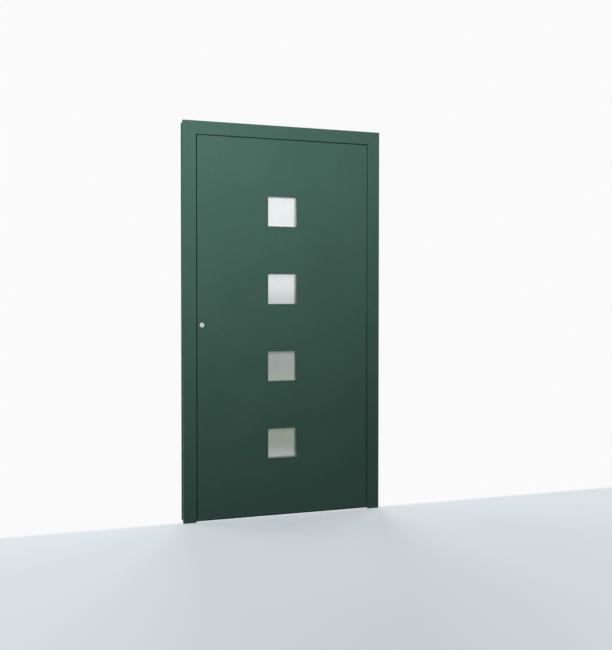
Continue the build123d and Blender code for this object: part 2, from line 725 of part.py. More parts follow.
def square_block(size, z, y):
    """A square block through the leaf at one window."""
    x = (WINDOW_SHIFT - size / 2, WINDOW_SHIFT + size / 2)
    return block(x, (y[0] - CUT, y[1] + CUT), (z - size / 2, z + size / 2))


def window_units():
    """Three panes with two spacers, taped to the outer skin and held by an inner frame."""
    outer_pane, middle_pane, satin_pane, spacers, tapes, frames = [], [], [], [], [], []
    for z in WINDOW_HEIGHTS:
        y = Y_OUT + SKIN
        tapes.append(square_ring(WINDOW_SHIFT, z, UNIT, UNIT - 2 * TAPE_WIDTH, (y, y + TAPE)))
        y += TAPE
        outer_pane.append(pane(z, (y, y + OUTER_PANE)))
        y += OUTER_PANE
        spacers.append(spacer(z, y))
        y += SPACER_DEPTH
        middle_pane.append(pane(z, (y, y + MIDDLE_PANE)))
        y += MIDDLE_PANE
        spacers.append(spacer(z, y))
        y += SPACER_DEPTH
        satin_pane.append(pane(z, (y, y + INNER_PANE)))
        y += INNER_PANE
        tapes.append(square_ring(WINDOW_SHIFT, z, UNIT, UNIT - 2 * TAPE_WIDTH, (y, y + TAPE)))
        frames.append(inner_glazing_frame(z, y + TAPE))
    save("outer_panes", *outer_pane)
    save("middle_panes", *middle_pane)
    save("satin_panes", *satin_pane)
    save("glass_spacers", *spacers)
    save("glazing_tapes", *tapes)
    save("inner_glazing_frames", *frames)


def pane(z, y):
    """One square pane."""
    return block((WINDOW_SHIFT - UNIT / 2, WINDOW_SHIFT + UNIT / 2), y, (z - UNIT / 2, z + UNIT / 2))


def spacer(z, y):
    """The square spacer between two panes."""
    size = UNIT - 2 * SPACER_INSET
    return square_ring(WINDOW_SHIFT, z, size, size - 2 * SPACER_WIDTH, (y, y + SPACER_DEPTH))


def inner_glazing_frame(z, y):
    """A foot on the glass tape, a sleeve to the inner face and a flange over the skin's edge."""
    inner = WINDOW + 2 * BEAD_INSET
    foot = square_ring(WINDOW_SHIFT, z, UNIT, inner, (y, y + BEAD_WALL))
    sleeve = square_ring(WINDOW_SHIFT, z, inner + 2 * BEAD_WALL, inner, (y, Y_IN + BEAD_PLATE))
    rim = UNIT_HOLE + 2 * BEAD_FLANGE
    flange = square_ring(WINDOW_SHIFT, z, rim, inner, (Y_IN, Y_IN + BEAD_PLATE))
    return foot + sleeve + flange


def drop_seal():
    """A channel in the leaf's lower edge with a bar and lip that lift off the threshold."""
    half = SEAL_CASE_WIDTH / 2
    bottom = LEAF_BOTTOM + SEAL_INSET
    length = (-X_LEAF + SEAL_END, X_LEAF - SEAL_END)
    past = (length[0] - CUT, length[1] + CUT)
    case = block(length, (Y_LOCK - half, Y_LOCK + half), (bottom, bottom + SEAL_CASE_HEIGHT))
    inside = half - SEAL_CASE_WALL
    roof = bottom + SEAL_CASE_HEIGHT - SEAL_CASE_WALL
    case -= block(past, (Y_LOCK - inside, Y_LOCK + inside), (bottom - CUT, roof))
    slide = inside - SEAL_CLEAR
    bar = block(length, (Y_LOCK - slide, Y_LOCK + slide), (bottom + SEAL_BAR[0], bottom + SEAL_BAR[1]))
    groove_y = (Y_LOCK - slide + SEAL_BAR_WALL, Y_LOCK + slide - SEAL_BAR_WALL)
    groove = block(past, groove_y, (bottom, bottom + SEAL_BAR_GROOVE))
    rubber = block(length, groove_y, (THRESHOLD + SEAL_CLEAR, bottom + SEAL_BAR_GROOVE))
    save("drop_seal_channel", case)
    save("drop_seal_bar", bar - groove)
    save("drop_seal_lip", rubber)


# Lock

def bolt_way(z, height):
    """An opening in the forend for a bolt at height z."""
    return block(
        (-X_LEAF - CUT, X_CASE[0] + CUT),
        (Y_BOLT[0] - PLAY, Y_BOLT[1] + PLAY),
        (z - height / 2 - PLAY, z + height / 2 + PLAY),
    )


def forend():
    """The steel plate in the leaf's edge, with openings for bolts and hooks."""
    low = HOOK_HEIGHTS[0] - FOREND_PAST_HOOK
    high = HOOK_HEIGHTS[1] + FOREND_PAST_HOOK
    y = (Y_LOCK - PLATE_WIDTH / 2, Y_LOCK + PLATE_WIDTH / 2)
    past = (-X_LEAF - CUT, X_CASE[0] + CUT)
    plate = block((-X_LEAF, X_CASE[0]), y, (low, high))
    plate -= bolt_way(LATCH_Z, LATCH_HEIGHT)
    plate -= bolt_way(DEADBOLT_Z, DEADBOLT_HEIGHT)
    for height in HOOK_HEIGHTS:
        plate -= hook_window(height, past, HOOK_PIVOT - FOREND, HOOK_ARM / 2)
    for z in forend_screws():
        plate -= turned("x", (Y_LOCK, z), SCREW_RADIUS + HOLE_PLAY, past)
    save("forend", plate)


def forend_screws():
    """Screw heights: both ends and beside each case."""
    past = FOREND_PAST_HOOK - FOREND_END_SCREW
    below, above = FOREND_HOOK_SCREWS
    return (HOOK_HEIGHTS[0] - past, HOOK_HEIGHTS[0] - below, HOOK_HEIGHTS[1] + above, HOOK_HEIGHTS[1] + past)


def lock_case():
    """A folded steel tray with a cover, open towards the forend."""
    outer = block(X_CASE, (Y_CASE[0], Y_CAVITY[1]), Z_CASE)
    inside = block(
        (X_CASE[0] - CUT, X_CASE[1] - CASE_WALL),
        (Y_CAVITY[0], Y_CAVITY[1] + CUT),
        (Z_CASE[0] + CASE_WALL, Z_CASE[1] - CASE_WALL),
    )
    tray = outer - inside
    tray_wall = (Y_CASE[0] - CUT, Y_CAVITY[0] + CUT)
    tray -= turned("y", (X_LOCK, LOCK_HEIGHT), CYLINDER_RADIUS + RUNNING, tray_wall)
    tray -= turned("y", (X_LOCK, HANDLE_HEIGHT), HUB_JOURNAL + RUNNING, tray_wall)
    cover = block(X_CASE, (Y_CAVITY[1], Y_CASE[1]), Z_CASE)
    cover_wall = (Y_CAVITY[1] - CUT, Y_CASE[1] + CUT)
    cover -= turned("y", (X_LOCK, LOCK_HEIGHT), TURN_NECK + RUNNING, cover_wall)
    cover -= turned("y", (X_LOCK, HANDLE_HEIGHT), HUB_JOURNAL + RUNNING, cover_wall)
    save("lock_case", tray)
    save("lock_case_cover", cover)



def involute(roll):
    """A point of the follower's pushing face at rest, about the spindle, as (x, z)."""
    back = roll - CAM_START
    x = CAM_RADIUS * roll
    z = CAM_RADIUS
    return (x * cos(back) - z * sin(back), x * sin(back) + z * cos(back))


def spindle_square(size, y):
    """A square bar or hole on the spindle's axis."""
    half = size / 2
    return block((X_LOCK - half, X_LOCK + half), y, (HANDLE_HEIGHT - half, HANDLE_HEIGHT + half))


def follower():
    """The hub turned by the spindle; its involute finger draws the latch back evenly."""
    face_points = [involute(FINGER_ROLL * i / 6) for i in range(7)]
    upper_back, lower_back, lower_front = FINGER_BACK
    outline = (
        Spline(*face_points)
        + Line(face_points[-1], upper_back)
        + Line(upper_back, lower_back)
        + Line(lower_back, lower_front)
        + Line(lower_front, face_points[0])
    )
    plane = Plane(origin=(X_LOCK, Y_FINGER[0], HANDLE_HEIGHT), x_dir=(1, 0, 0), z_dir=(0, -1, 0))
    finger = extrude(plane * make_face(outline), -FINGER_THICK)
    hub = turned("y", (X_LOCK, HANDLE_HEIGHT), HUB_RADIUS, Y_BOLT)
    journal = turned("y", (X_LOCK, HANDLE_HEIGHT), HUB_JOURNAL, Y_CASE)
    square = spindle_square(SPINDLE + 2 * SPINDLE_PLAY, (Y_CASE[0] - CUT, Y_CASE[1] + CUT))
    save("lock_follower", hub + journal + finger - square)


def latch_bolt():
    """A bevelled head with a tail plate and a lug in front of the follower's finger."""
    root = X_CASE[0] + LATCH_ROOT
    outline = Polyline(
        (root, Y_BOLT[0]),
        (-X_LEAF, Y_BOLT[0]),
        (X_LATCH_TIP, Y_BOLT[1] - LATCH_TIP),
        (X_LATCH_TIP, Y_BOLT[1]),
        (root, Y_BOLT[1]),
        close=True,
    )
    head = standing(make_face(outline), LATCH_Z - LATCH_HEIGHT / 2, LATCH_Z + LATCH_HEIGHT / 2)
    lug_face = X_LOCK + CAM_RADIUS * CAM_START + LUG_CLEAR
    lug = (lug_face, lug_face + LUG)
    low = HANDLE_HEIGHT + LUG_LOW
    tail = block((root - CUT, lug[1]), Y_TAIL, (low, LATCH_Z + TAIL_ABOVE_LATCH))
    stop = block(lug, (Y_FINGER[0], Y_TAIL[1]), (low, HANDLE_HEIGHT + LUG_HIGH))
    save("latch_bolt", head + tail + stop)


def deadbolt():
    """A flat bolt with a chamfered nose, flush with the forend at rest."""
    half = DEADBOLT_HEIGHT / 2
    bolt = block((-X_LEAF + DEADBOLT_INSET, X_LOCK), Y_BOLT, (DEADBOLT_Z - half, DEADBOLT_Z + half))
    nose = bolt.edges().filter_by(Axis.Z).group_by(Axis.X)[0]
    save("deadbolt", chamfer(nose, DEADBOLT_NOSE))


def polar(radius, degrees):
    """A point at a radius and an angle."""
    return (radius * cos(radians(degrees)), radius * sin(radians(degrees)))


def hook_shape():
    """Hook about its pivot as locked: an arm along -x and a nose that rises behind the strike."""
    top = 180 - HOOK_NOSE
    bottom = 180 + HOOK_DIP
    sector = make_face(
        CenterArc((0, 0), HOOK_OUTER, top, bottom - top)
        + Line(polar(HOOK_OUTER, bottom), polar(HOOK_INNER, bottom))
        + CenterArc((0, 0), HOOK_INNER, top, bottom - top)
        + Line(polar(HOOK_INNER, top), polar(HOOK_OUTER, top))
    )
    arm = rectangle((-HOOK_ARM_END, 0), (-HOOK_ARM / 2, HOOK_ARM / 2))
    return Circle(HOOK_HUB) + arm + sector


def hook_case(height):
    """A folded case for one hook, open towards the forend."""
    x = (X_CASE[0], X_HOOK + HOOK_CASE_BACK)
    z = (height - HOOK_CASE[0], height + HOOK_CASE[1])
    case = block(x, Y_CASE, z)
    case -= block((x[0] - CUT, x[1] - CASE_WALL), Y_CAVITY, (z[0] + CASE_WALL, z[1] - CASE_WALL))
    return case - turned("y", (X_HOOK, height), HOOK_PIN + RUNNING, (Y_CASE[0] - CUT, Y_CASE[1] + CUT))


def hooks():
    """Two swing hooks, folded down at rest, each in its own case."""
    start = Y_LOCK - HOOK_THICK / 2
    for name, height in zip(("hook_lower", "hook_upper"), HOOK_HEIGHTS):
        plane = Plane(origin=(X_HOOK, start, height), x_dir=(0, 0, 1), z_dir=(0, -1, 0))
        blade = extrude(plane * hook_shape(), -HOOK_THICK)
        save(name, blade + turned("y", (X_HOOK, height), HOOK_PIN, Y_CASE))
    save("hook_cases", *[hook_case(height) for height in HOOK_HEIGHTS])


def drive_rods():
    """Flat rods behind the forend, between the lock case and each hook case."""
    x = (X_CASE[0] + ROD_CLEAR, X_CASE[0] + ROD_CLEAR + ROD_THICK)
    y = (Y_LOCK - ROD_WIDTH / 2, Y_LOCK + ROD_WIDTH / 2)
    low = (HOOK_HEIGHTS[0] + HOOK_CASE[1] + CASE_ROOM + ROD_TRAVEL, Z_CASE[0] - CASE_ROOM)
    high = (Z_CASE[1] + CASE_ROOM + ROD_TRAVEL, HOOK_HEIGHTS[1] - HOOK_CASE[0] - CASE_ROOM)
    save("drive_rods", block(x, y, low), block(x, y, high))


def tube(axis, centre, outer, inner, span):
    """A round tube; the bore passes both ends."""
    return turned(axis, centre, outer, span) - turned(axis, centre, inner, (span[0] - CUT, span[1] + CUT))


def tail_block(play, y):
    """The plug's flat tail, or with play the slot that it fits."""
    half = TAIL[0] / 2 + play
    tall = TAIL[1] / 2 + play
    return block((X_LOCK - half, X_LOCK + half), y, (LOCK_HEIGHT - tall, LOCK_HEIGHT + tall))


def cylinder():
    """A round outer cylinder with a key plug, and the tail that drives the cam."""
    at = (X_LOCK, LOCK_HEIGHT)
    front = Y_OUT - CYLINDER_PROUD
    back = Y_CAVITY[0] - CYLINDER_SHORT
    save("cylinder_housing", tube("y", at, CYLINDER_RADIUS, PLUG_RADIUS + RUNNING, (front, back)))
    collar = (Y_OUT - COLLAR_PROUD, Y_OUT)
    save("cylinder_collar", tube("y", at, COLLAR_RADIUS, CYLINDER_RADIUS + RUNNING, collar))
    wide, tall, deep = KEYWAY
    plug = turned("y", at, PLUG_RADIUS, (front, back))
    plug -= block(
        (X_LOCK - wide / 2, X_LOCK + wide / 2),
        (front - CUT, front + deep),
        (LOCK_HEIGHT - tall / 2, LOCK_HEIGHT + tall / 2),
    )
    plug += tail_block(0, (back - CUT, Y_CASE[1] + TAIL_PAST_CASE))
    save("cylinder_plug", plug)
    cam = turned("y", at, DRIVE_RADIUS, Y_BOLT)
    half = DRIVE_WIDTH / 2
    cam += block((X_LOCK - half, X_LOCK + half), Y_BOLT, (LOCK_HEIGHT - DRIVE_REACH, LOCK_HEIGHT))
    save("drive_cam", cam - tail_block(TAIL_PLAY, (Y_BOLT[0] - CUT, Y_BOLT[1] + CUT)))


def thumb_turn():
    """An oval bow on a shaft through its rose, slotted for the plug's tail."""
    at = (X_LOCK, LOCK_HEIGHT)
    start = Y_BOLT[1] + RUNNING
    step = Y_LEAF_B + TURN_STEP
    low = Y_IN + ROSE + TURN_PROUD
    neck = turned("y", at, TURN_NECK, (start, step))
    shaft = turned("y", at, TURN_SHAFT, (step - CUT, low + CUT))
    wide, thick, deep = TURN_KNOB
    plane = Plane(origin=(X_LOCK, low, LOCK_HEIGHT), x_dir=(0, 0, 1), z_dir=(0, 1, 0))
    bow = extrude(plane * SlotOverall(wide, thick), deep)
    bow = fillet(bow.edges().group_by(Axis.Y)[-1], SOFT_EDGE)
    slot = tail_block(TAIL_PLAY, (start - CUT, Y_CASE[1] + TAIL_PAST_CASE))
    save("thumb_turn", neck + shaft + bow - slot)
    save("thumb_turn_rose", rose(LOCK_HEIGHT, TURN_SHAFT))


def rose(height, bore):
    """A round rose on the inner face, with its front edge rounded."""
    disc = turned("y", (X_LOCK, height), ROSE_RADIUS, (Y_IN, Y_IN + ROSE))
    disc = fillet(disc.edges().group_by(Axis.Y)[-1], SOFT_EDGE)
    return disc - turned("y", (X_LOCK, height), bore + RUNNING, (Y_IN - CUT, Y_IN + ROSE + CUT))


def lever():
    """A round bar bent once: out of the rose, then towards the middle of the leaf."""
    y0 = Y_IN + LEVER_OFF_FACE
    y1 = Y_IN + LEVER_REACH
    path = FilletPolyline(
        (X_LOCK, y0, HANDLE_HEIGHT),
        (X_LOCK, y1, HANDLE_HEIGHT),
        (X_LOCK + LEVER_LENGTH, y1, HANDLE_HEIGHT),
        radius=LEVER_BEND,
    )
    start = Plane(origin=(X_LOCK, y0, HANDLE_HEIGHT), z_dir=(0, 1, 0))
    bar = sweep(start * Circle(LEVER_RADIUS), path=path)
    bar = fillet(bar.edges().group_by(Axis.X)[-1], LEVER_END)
    socket = spindle_square(SPINDLE + 2 * SPINDLE_PLAY, (y0 - CUT, y0 + SPINDLE_SOCKET))
    save("lever_handle", bar - socket)
    save("lever_rose", rose(HANDLE_HEIGHT, LEVER_RADIUS))
    save("spindle", spindle_square(SPINDLE, (Y_CASE[0], y0 + SPINDLE_SOCKET)))


# Hinges

def hinges():
    """Three-part barrel hinges on the inner faces, all on one vertical axis."""
    frame_wings, leaf_wings, pins, bushes, caps = [], [], [], [], []
    axis = (X_AXIS, Y_AXIS)
    outer = KNUCKLE * 1.5
    middle = KNUCKLE / 2 - KNUCKLE_CLEAR
    for z in HINGE_HEIGHTS:
        ends = ((z - outer, z - KNUCKLE / 2), (z + KNUCKLE / 2, z + outer))
        fixed = wing_plate(X_FRAME_WING, z)
        for span in ends:
            fixed += knuckle(span, 1)
        pin = (z - outer, z + outer)
        frame_wings.append(bore_wing(fixed, X_FRAME_WING, z, PIN_RADIUS + RUNNING / 2, pin))
        swing = wing_plate(X_LEAF_WING, z) + knuckle((z - middle, z + middle), -1)
        bush = (z - middle, z + middle)
        leaf_wings.append(bore_wing(swing, X_LEAF_WING, z, PIN_RADIUS + BUSH + RUNNING, bush))
        bushes.append(tube("z", axis, PIN_RADIUS + BUSH, PIN_RADIUS + RUNNING, bush))
        pins.append(turned("z", axis, PIN_RADIUS, (pin[0] + PIN_SHORT, pin[1] - PIN_SHORT)))
        caps.append(turned("z", axis, KNUCKLE_RADIUS, (pin[0] - CAP, pin[0])))
        caps.append(turned("z", axis, KNUCKLE_RADIUS, (pin[1], pin[1] + CAP)))
    save("frame_hinge_wings", *frame_wings)
    save("leaf_hinge_wings", *leaf_wings)
    save("hinge_pins", *pins)
    save("hinge_bushes", *bushes)
    save("hinge_caps", *caps)


def wing_plate(x, z):
    """The flat plate of a hinge wing."""
    half = WING_WIDTH / 2
    return block((x - half, x + half), Y_WING, (z - KNUCKLE * 1.5, z + KNUCKLE * 1.5))


def knuckle(span, side):
    """One barrel segment and the neck that joins it to its wing."""
    barrel = turned("z", (X_AXIS, Y_AXIS), KNUCKLE_RADIUS, span)
    neck_x = (X_AXIS + side * NECK[0], X_AXIS + side * NECK[1])
    return barrel + block(neck_x, (Y_IN + NECK_OFF_FACE, Y_AXIS + NECK_PAST_AXIS), span)


def bore_wing(wing, x, z, radius, span):
    """Bore a wing's barrel and drill its three screw holes."""
    wing -= turned("z", (X_AXIS, Y_AXIS), radius, (span[0] - CUT, span[1] + CUT))
    for dz in WING_SCREWS:
        hole = (Y_WING[0] - CUT, Y_WING[1] + CUT)
        wing -= turned("y", (x, z + dz), SCREW_RADIUS + HOLE_PLAY, hole)
    return wing


def wing_screw(x, z):
    """A pan-head screw driven outwards through a wing."""
    seat = Y_WING[1]
    head = turned("y", (x, z), SCREW_HEAD, (seat, seat + SCREW_HEAD_HEIGHT))
    return head + turned("y", (x, z), SCREW_RADIUS, (seat + SCREW_HEAD_HEIGHT - SCREW_LENGTH, seat))


def hinge_screws():
    """The screws of all the wings, on the frame and on the leaf."""
    save("frame_hinge_screws", *[wing_screw(X_FRAME_WING, z) for z in hinge_screw_heights()])
    save("leaf_hinge_screws", *[wing_screw(X_LEAF_WING, z) for z in hinge_screw_heights()])


frame_members()
frame_bars()
frame_cleats()
frame_gasket()
threshold()
main_strike()
hook_strikes()
keeper_and_housing()
leaf_members()
leaf_bars(bottom_rail())
leaf_cleats()
skins_and_core()
window_units()
drop_seal()
forend()
lock_case()
follower()
latch_bolt()
deadbolt()
hooks()
drive_rods()
cylinder()
thumb_turn()
lever()
hinges()
hinge_screws()
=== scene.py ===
"""Looks of a flush aluminium front door in its frame, with four square windows.

Metres, +Z up, -Y outdoors, +X the hinge side, origin on the floor in the middle of the frame.
"""

from __future__ import annotations

import json
import logging
import math
from dataclasses import dataclass
from enum import Enum
from typing import ClassVar

import bpy
import numpy as np
from mathutils import Matrix, Vector

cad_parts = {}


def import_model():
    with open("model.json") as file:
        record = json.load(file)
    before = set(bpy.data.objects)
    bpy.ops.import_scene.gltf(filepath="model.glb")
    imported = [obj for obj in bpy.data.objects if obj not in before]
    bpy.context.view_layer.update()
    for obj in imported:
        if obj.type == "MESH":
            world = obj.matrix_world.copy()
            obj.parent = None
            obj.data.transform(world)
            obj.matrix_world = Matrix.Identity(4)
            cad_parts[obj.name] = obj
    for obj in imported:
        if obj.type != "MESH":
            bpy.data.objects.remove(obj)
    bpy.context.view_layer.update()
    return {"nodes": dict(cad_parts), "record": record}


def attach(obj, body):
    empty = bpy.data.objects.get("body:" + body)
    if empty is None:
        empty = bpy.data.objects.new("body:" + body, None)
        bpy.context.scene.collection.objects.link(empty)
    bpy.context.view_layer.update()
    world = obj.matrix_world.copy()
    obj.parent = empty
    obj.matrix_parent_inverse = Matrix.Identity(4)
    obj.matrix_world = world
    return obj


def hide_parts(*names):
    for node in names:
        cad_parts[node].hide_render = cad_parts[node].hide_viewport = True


LOG = logging.getLogger("door")

Node = bpy.types.Node
Socket = bpy.types.NodeSocket
Material = bpy.types.Material
Colour = tuple[float, float, float]
Point = tuple[float, float, float]
Pair = tuple[float, float]
Span = tuple[float, float]

# Places that finishes and fittings share
LOCK_X = -0.451
LOCK_Z = 1.036
HANDLE_Z = 1.130
FACE_Y = -0.040

# Nodes in front of the satin panes, through which the lamps shine
UNSHADED = ("outer_panes", "middle_panes", "glass_spacers", "glazing_tapes", "outer_skin")

# Points of a new mesh are merged when they agree to this many decimals
MERGE_DIGITS = 7
SHARP_ANGLE = math.radians(32)
FULL_TURN = 2 * np.pi


class Slot(Enum):
    """The finishes of the door, by the name of their material slot."""

    GREEN_COAT = "green_coat"
    RAW_ALUMINIUM = "raw_aluminium"
    ANODISED = "anodised"
    POLYAMIDE = "polyamide"
    SEAL_RUBBER = "seal_rubber"
    CLEAR_GLASS = "clear_glass"
    SATIN_GLASS = "satin_glass"
    SPACER = "spacer"
    FOAM = "foam"
    STAINLESS = "stainless"
    LOCK_STEEL = "lock_steel"
    NICKEL = "nickel"


class Axis(Enum):
    """The direction along which a turned piece is built."""

    X = 0
    Y = 1
    Z = 2


@dataclass(frozen=True)
class Graph:
    """A thin helper that adds and links shader nodes in one node tree."""

    # Numbers of the Mix node's sockets when it mixes colours
    MIX_FACTOR: ClassVar[int] = 0
    MIX_FIRST: ClassVar[int] = 6
    MIX_SECOND: ClassVar[int] = 7
    MIX_RESULT: ClassVar[int] = 2

    tree: bpy.types.NodeTree

    def add(self, kind: str, inputs: dict | None = None, **settings: object) -> Node:
        """Add a node.

        Args:
            kind: Blender's name of the node type.
            inputs: Values or output sockets for the node's inputs, by name or number.
            settings: Properties of the node.

        Returns:
            The new node.
        """
        node = self.tree.nodes.new(kind)
        for name, value in settings.items():
            setattr(node, name, value)
        for name, value in (inputs or {}).items():
            self.feed(node.inputs[name], value)
        return node

    def feed(self, socket: Socket, value: object) -> None:
        """Link an output socket to an input socket, or set the input's own value.

        Args:
            socket: The input socket.
            value: An output socket, a number, or a tuple for a vector or a colour.
        """
        if isinstance(value, bpy.types.NodeSocket):
            self.tree.links.new(value, socket)
        elif isinstance(value, tuple) and len(value) == 3 and socket.type == "RGBA":
            socket.default_value = (*value, 1.0)
        else:
            socket.default_value = value

    def place(self) -> Socket:
        """Object coordinates, in metres from the origin."""
        return self.add("ShaderNodeTexCoord").outputs["Object"]

    def parts(self, vector: Socket) -> list[Socket]:
        """The x, y and z of a vector."""
        return list(self.add("ShaderNodeSeparateXYZ", {0: vector}).outputs)

    def math(self, operation: str, *values: object, clamp: bool = False) -> Socket:
        """Do one step of arithmetic.

        Args:
            operation: Blender's name of the operation.
            values: Numbers or output sockets, in the operation's order.
            clamp: Whether the result is kept between 0 and 1.

        Returns:
            The socket of the result.
        """
        node = self.add("ShaderNodeMath", dict(enumerate(values)), operation=operation)
        node.use_clamp = clamp
        return node.outputs[0]

    def vector(self, operation: str, *values: object, out: str = "Vector") -> Socket:
        """Do one step of vector arithmetic.

        Args:
            operation: Blender's name of the operation.
            values: Tuples or output sockets, in the operation's order.
            out: "Vector", or "Value" where the result is a number.

        Returns:
            The socket of the result.
        """
        node = self.add("ShaderNodeVectorMath", dict(enumerate(values)), operation=operation)
        return node.outputs[out]

    def ramp(self, value: Socket, low: float, high: float, to: Span = (0.0, 1.0)) -> Socket:
        """Map a number from one span to another with a smooth start and end.

        Args:
            value: The number.
            low: Where the span starts. It may lie above high, which turns the ramp round.
            high: Where the span ends.
            to: The results at low and at high.

        Returns:
            The socket of the result.
        """
        node = self.add(
            "ShaderNodeMapRange",
            {"Value": value, "From Min": low, "From Max": high, "To Min": to[0], "To Max": to[1]},
            interpolation_type="SMOOTHSTEP",
        )
        return node.outputs["Result"]

    def mix(self, factor: Socket, first: object, second: object) -> Socket:
        """Mix two colours.

        Args:
            factor: 0 gives the first colour and 1 the second.
            first: A colour or an output socket.
            second: A colour or an output socket.

        Returns:
            The socket of the mixed colour.
        """
        node = self.add("ShaderNodeMix", data_type="RGBA")
        self.feed(node.inputs[self.MIX_FACTOR], factor)
        self.feed(node.inputs[self.MIX_FIRST], first)
        self.feed(node.inputs[self.MIX_SECOND], second)
        return node.outputs[self.MIX_RESULT]

    def noise(self, at: Socket, scale: object, detail: float = 3.0, rough: float = 0.5) -> Socket:
        """Smooth noise.

        Args:
            at: The coordinates.
            scale: Waves per metre, as a number or an output socket.
            detail: How many finer layers are added.
            rough: How strong the finer layers are.

        Returns:
            The socket of a number between 0 and 1.
        """
        inputs = {"Vector": at, "Scale": scale, "Detail": detail, "Roughness": rough}
        return self.add("ShaderNodeTexNoise", inputs).outputs["Fac"]

    def group(self, name: str, inputs: dict | None = None) -> dict[str, Socket]:
        """Place a shared shader group with its own values.

        Args:
            name: The group's name.
            inputs: Values or output sockets for its inputs, by name.

        Returns:
            The group's output sockets by name.
        """
        node = self.add("ShaderNodeGroup", node_tree=bpy.data.node_groups[name])
        for key, value in (inputs or {}).items():
            self.feed(node.inputs[key], value)
        return {socket.name: socket for socket in node.outputs}


@dataclass(frozen=True)
class Effect:
    """A shader group that several finishes use. It puts out masks, heights and normals only."""

    name: ClassVar[str]
    inputs: ClassVar[dict[str, float]] = {}
    outputs: ClassVar[tuple[str, ...]] = ("Mask",)

    def draw(self, graph: Graph, given: dict[str, Socket]) -> dict[str, Socket]:
        """Work out the outputs; each effect has its own way.

        Args:
            graph: The group's graph.
            given: The group's inputs by name.

        Returns:
            What the group puts out, by the names in outputs.
        """
        raise NotImplementedError

    def build(self) -> None:
        """Make the group with its sockets; an output named Normal is a vector, the rest are numbers."""
        tree = bpy.data.node_groups.new(self.name, "ShaderNodeTree")
        for key, value in self.inputs.items():
            socket = tree.interface.new_socket(key, in_out="INPUT", socket_type="NodeSocketFloat")
            socket.default_value = value
        for key in self.outputs:
            kind = "NodeSocketVector" if key == "Normal" else "NodeSocketFloat"
            tree.interface.new_socket(key, in_out="OUTPUT", socket_type=kind)
        graph = Graph(tree)
        given = graph.add("NodeGroupInput").outputs
        end = graph.add("NodeGroupOutput")
        for key, socket in self.draw(graph, {key: given[key] for key in self.inputs}).items():
            graph.feed(end.inputs[key], socket)


@dataclass(frozen=True)
class CoatSkin(Effect):
    """Fine structure of sprayed powder: tight bumps over a soft orange peel, and a slow mottle."""

    name: ClassVar[str] = "coat_skin"
    outputs: ClassVar[tuple[str, ...]] = ("Height", "Mottle", "Grain")
    grain_scale: float = 1500.0
    grain_span: Span = (0.34, 0.66)
    peel_scale: float = 260.0
    peel_share: float = 0.6
    mottle_scale: float = 26.0
    mottle_rough: float = 0.62
    mottle_share: float = 0.55
    slow_scale: float = 3.2
    slow_share: float = 0.7

    def draw(self, graph: Graph, given: dict[str, Socket]) -> dict[str, Socket]:
        """Height is the grain plus a share of the peel. Mottle adds two clouds about one half.

        Args:
            graph: The group's graph.
            given: The group's inputs by name.

        Returns:
            Height, Mottle and Grain.
        """
        at = graph.place()
        grain = graph.noise(at, self.grain_scale, 2.0)
        peel = graph.noise(at, self.peel_scale, 1.0)
        mottle = graph.noise(at, self.mottle_scale, 4.0, self.mottle_rough)
        slow = graph.noise(at, self.slow_scale, 2.0)
        part = graph.math("MULTIPLY", mottle, self.mottle_share)
        both = graph.math("MULTIPLY_ADD", slow, self.slow_share, part)
        too_much = (self.slow_share + self.mottle_share - 1) / 2
        return {
            "Height": graph.math("MULTIPLY_ADD", peel, self.peel_share, grain),
            "Mottle": graph.math("SUBTRACT", both, too_much),
            "Grain": graph.ramp(grain, *self.grain_span),
        }


@dataclass(frozen=True)
class DrawLines(Effect):
    """Fine parallel lines along one axis, as left by extrusion, drawing or brushing."""

    name: ClassVar[str] = "draw_lines"
    inputs: ClassVar[dict[str, float]] = {"Along X": 0.02, "Along Y": 1.0, "Along Z": 1.0, "Scale": 900.0}
    outputs: ClassVar[tuple[str, ...]] = ("Height", "Mask")
    wide_share: float = 0.14
    wide_span: Span = (0.36, 0.64)

    def draw(self, graph: Graph, given: dict[str, Socket]) -> dict[str, Socket]:
        """Noise on coordinates that are squeezed along the lines, once fine and once wide.

        Args:
            graph: The group's graph.
            given: The squeeze along each axis and the scale.

        Returns:
            Height of the fine lines and Mask of the wide ones.
        """
        squeeze = graph.add("ShaderNodeCombineXYZ", {i: given[f"Along {a}"] for i, a in enumerate("XYZ")})
        at = graph.vector("MULTIPLY", graph.place(), squeeze.outputs[0])
        fine = graph.noise(at, given["Scale"], 2.0)
        wide = graph.noise(at, graph.math("MULTIPLY", given["Scale"], self.wide_share), 1.0)
        return {"Height": fine, "Mask": graph.ramp(wide, *self.wide_span)}


@dataclass(frozen=True)
class SoftEdges(Effect):
    """Rounded edges in the shading, and a mask that is 1 on an edge and 0 on a flat."""

    name: ClassVar[str] = "soft_edges"
    inputs: ClassVar[dict[str, float]] = {"Radius": 0.0008}
    outputs: ClassVar[tuple[str, ...]] = ("Normal", "Mask")
    samples: int = 4
    bend: Span = (0.995, 0.86)

    def draw(self, graph: Graph, given: dict[str, Socket]) -> dict[str, Socket]:
        """The rounded normal, and how far it leans from the true one by their dot product.

        Args:
            graph: The group's graph.
            given: The radius of the rounding.

        Returns:
            Normal and Mask.
        """
        bevel = graph.add("ShaderNodeBevel", {"Radius": given["Radius"]}, samples=self.samples)
        flat = graph.add("ShaderNodeNewGeometry").outputs["True Normal"]
        same = graph.vector("DOT_PRODUCT", bevel.outputs[0], flat, out="Value")
        return {"Normal": bevel.outputs[0], "Mask": graph.ramp(same, *self.bend)}


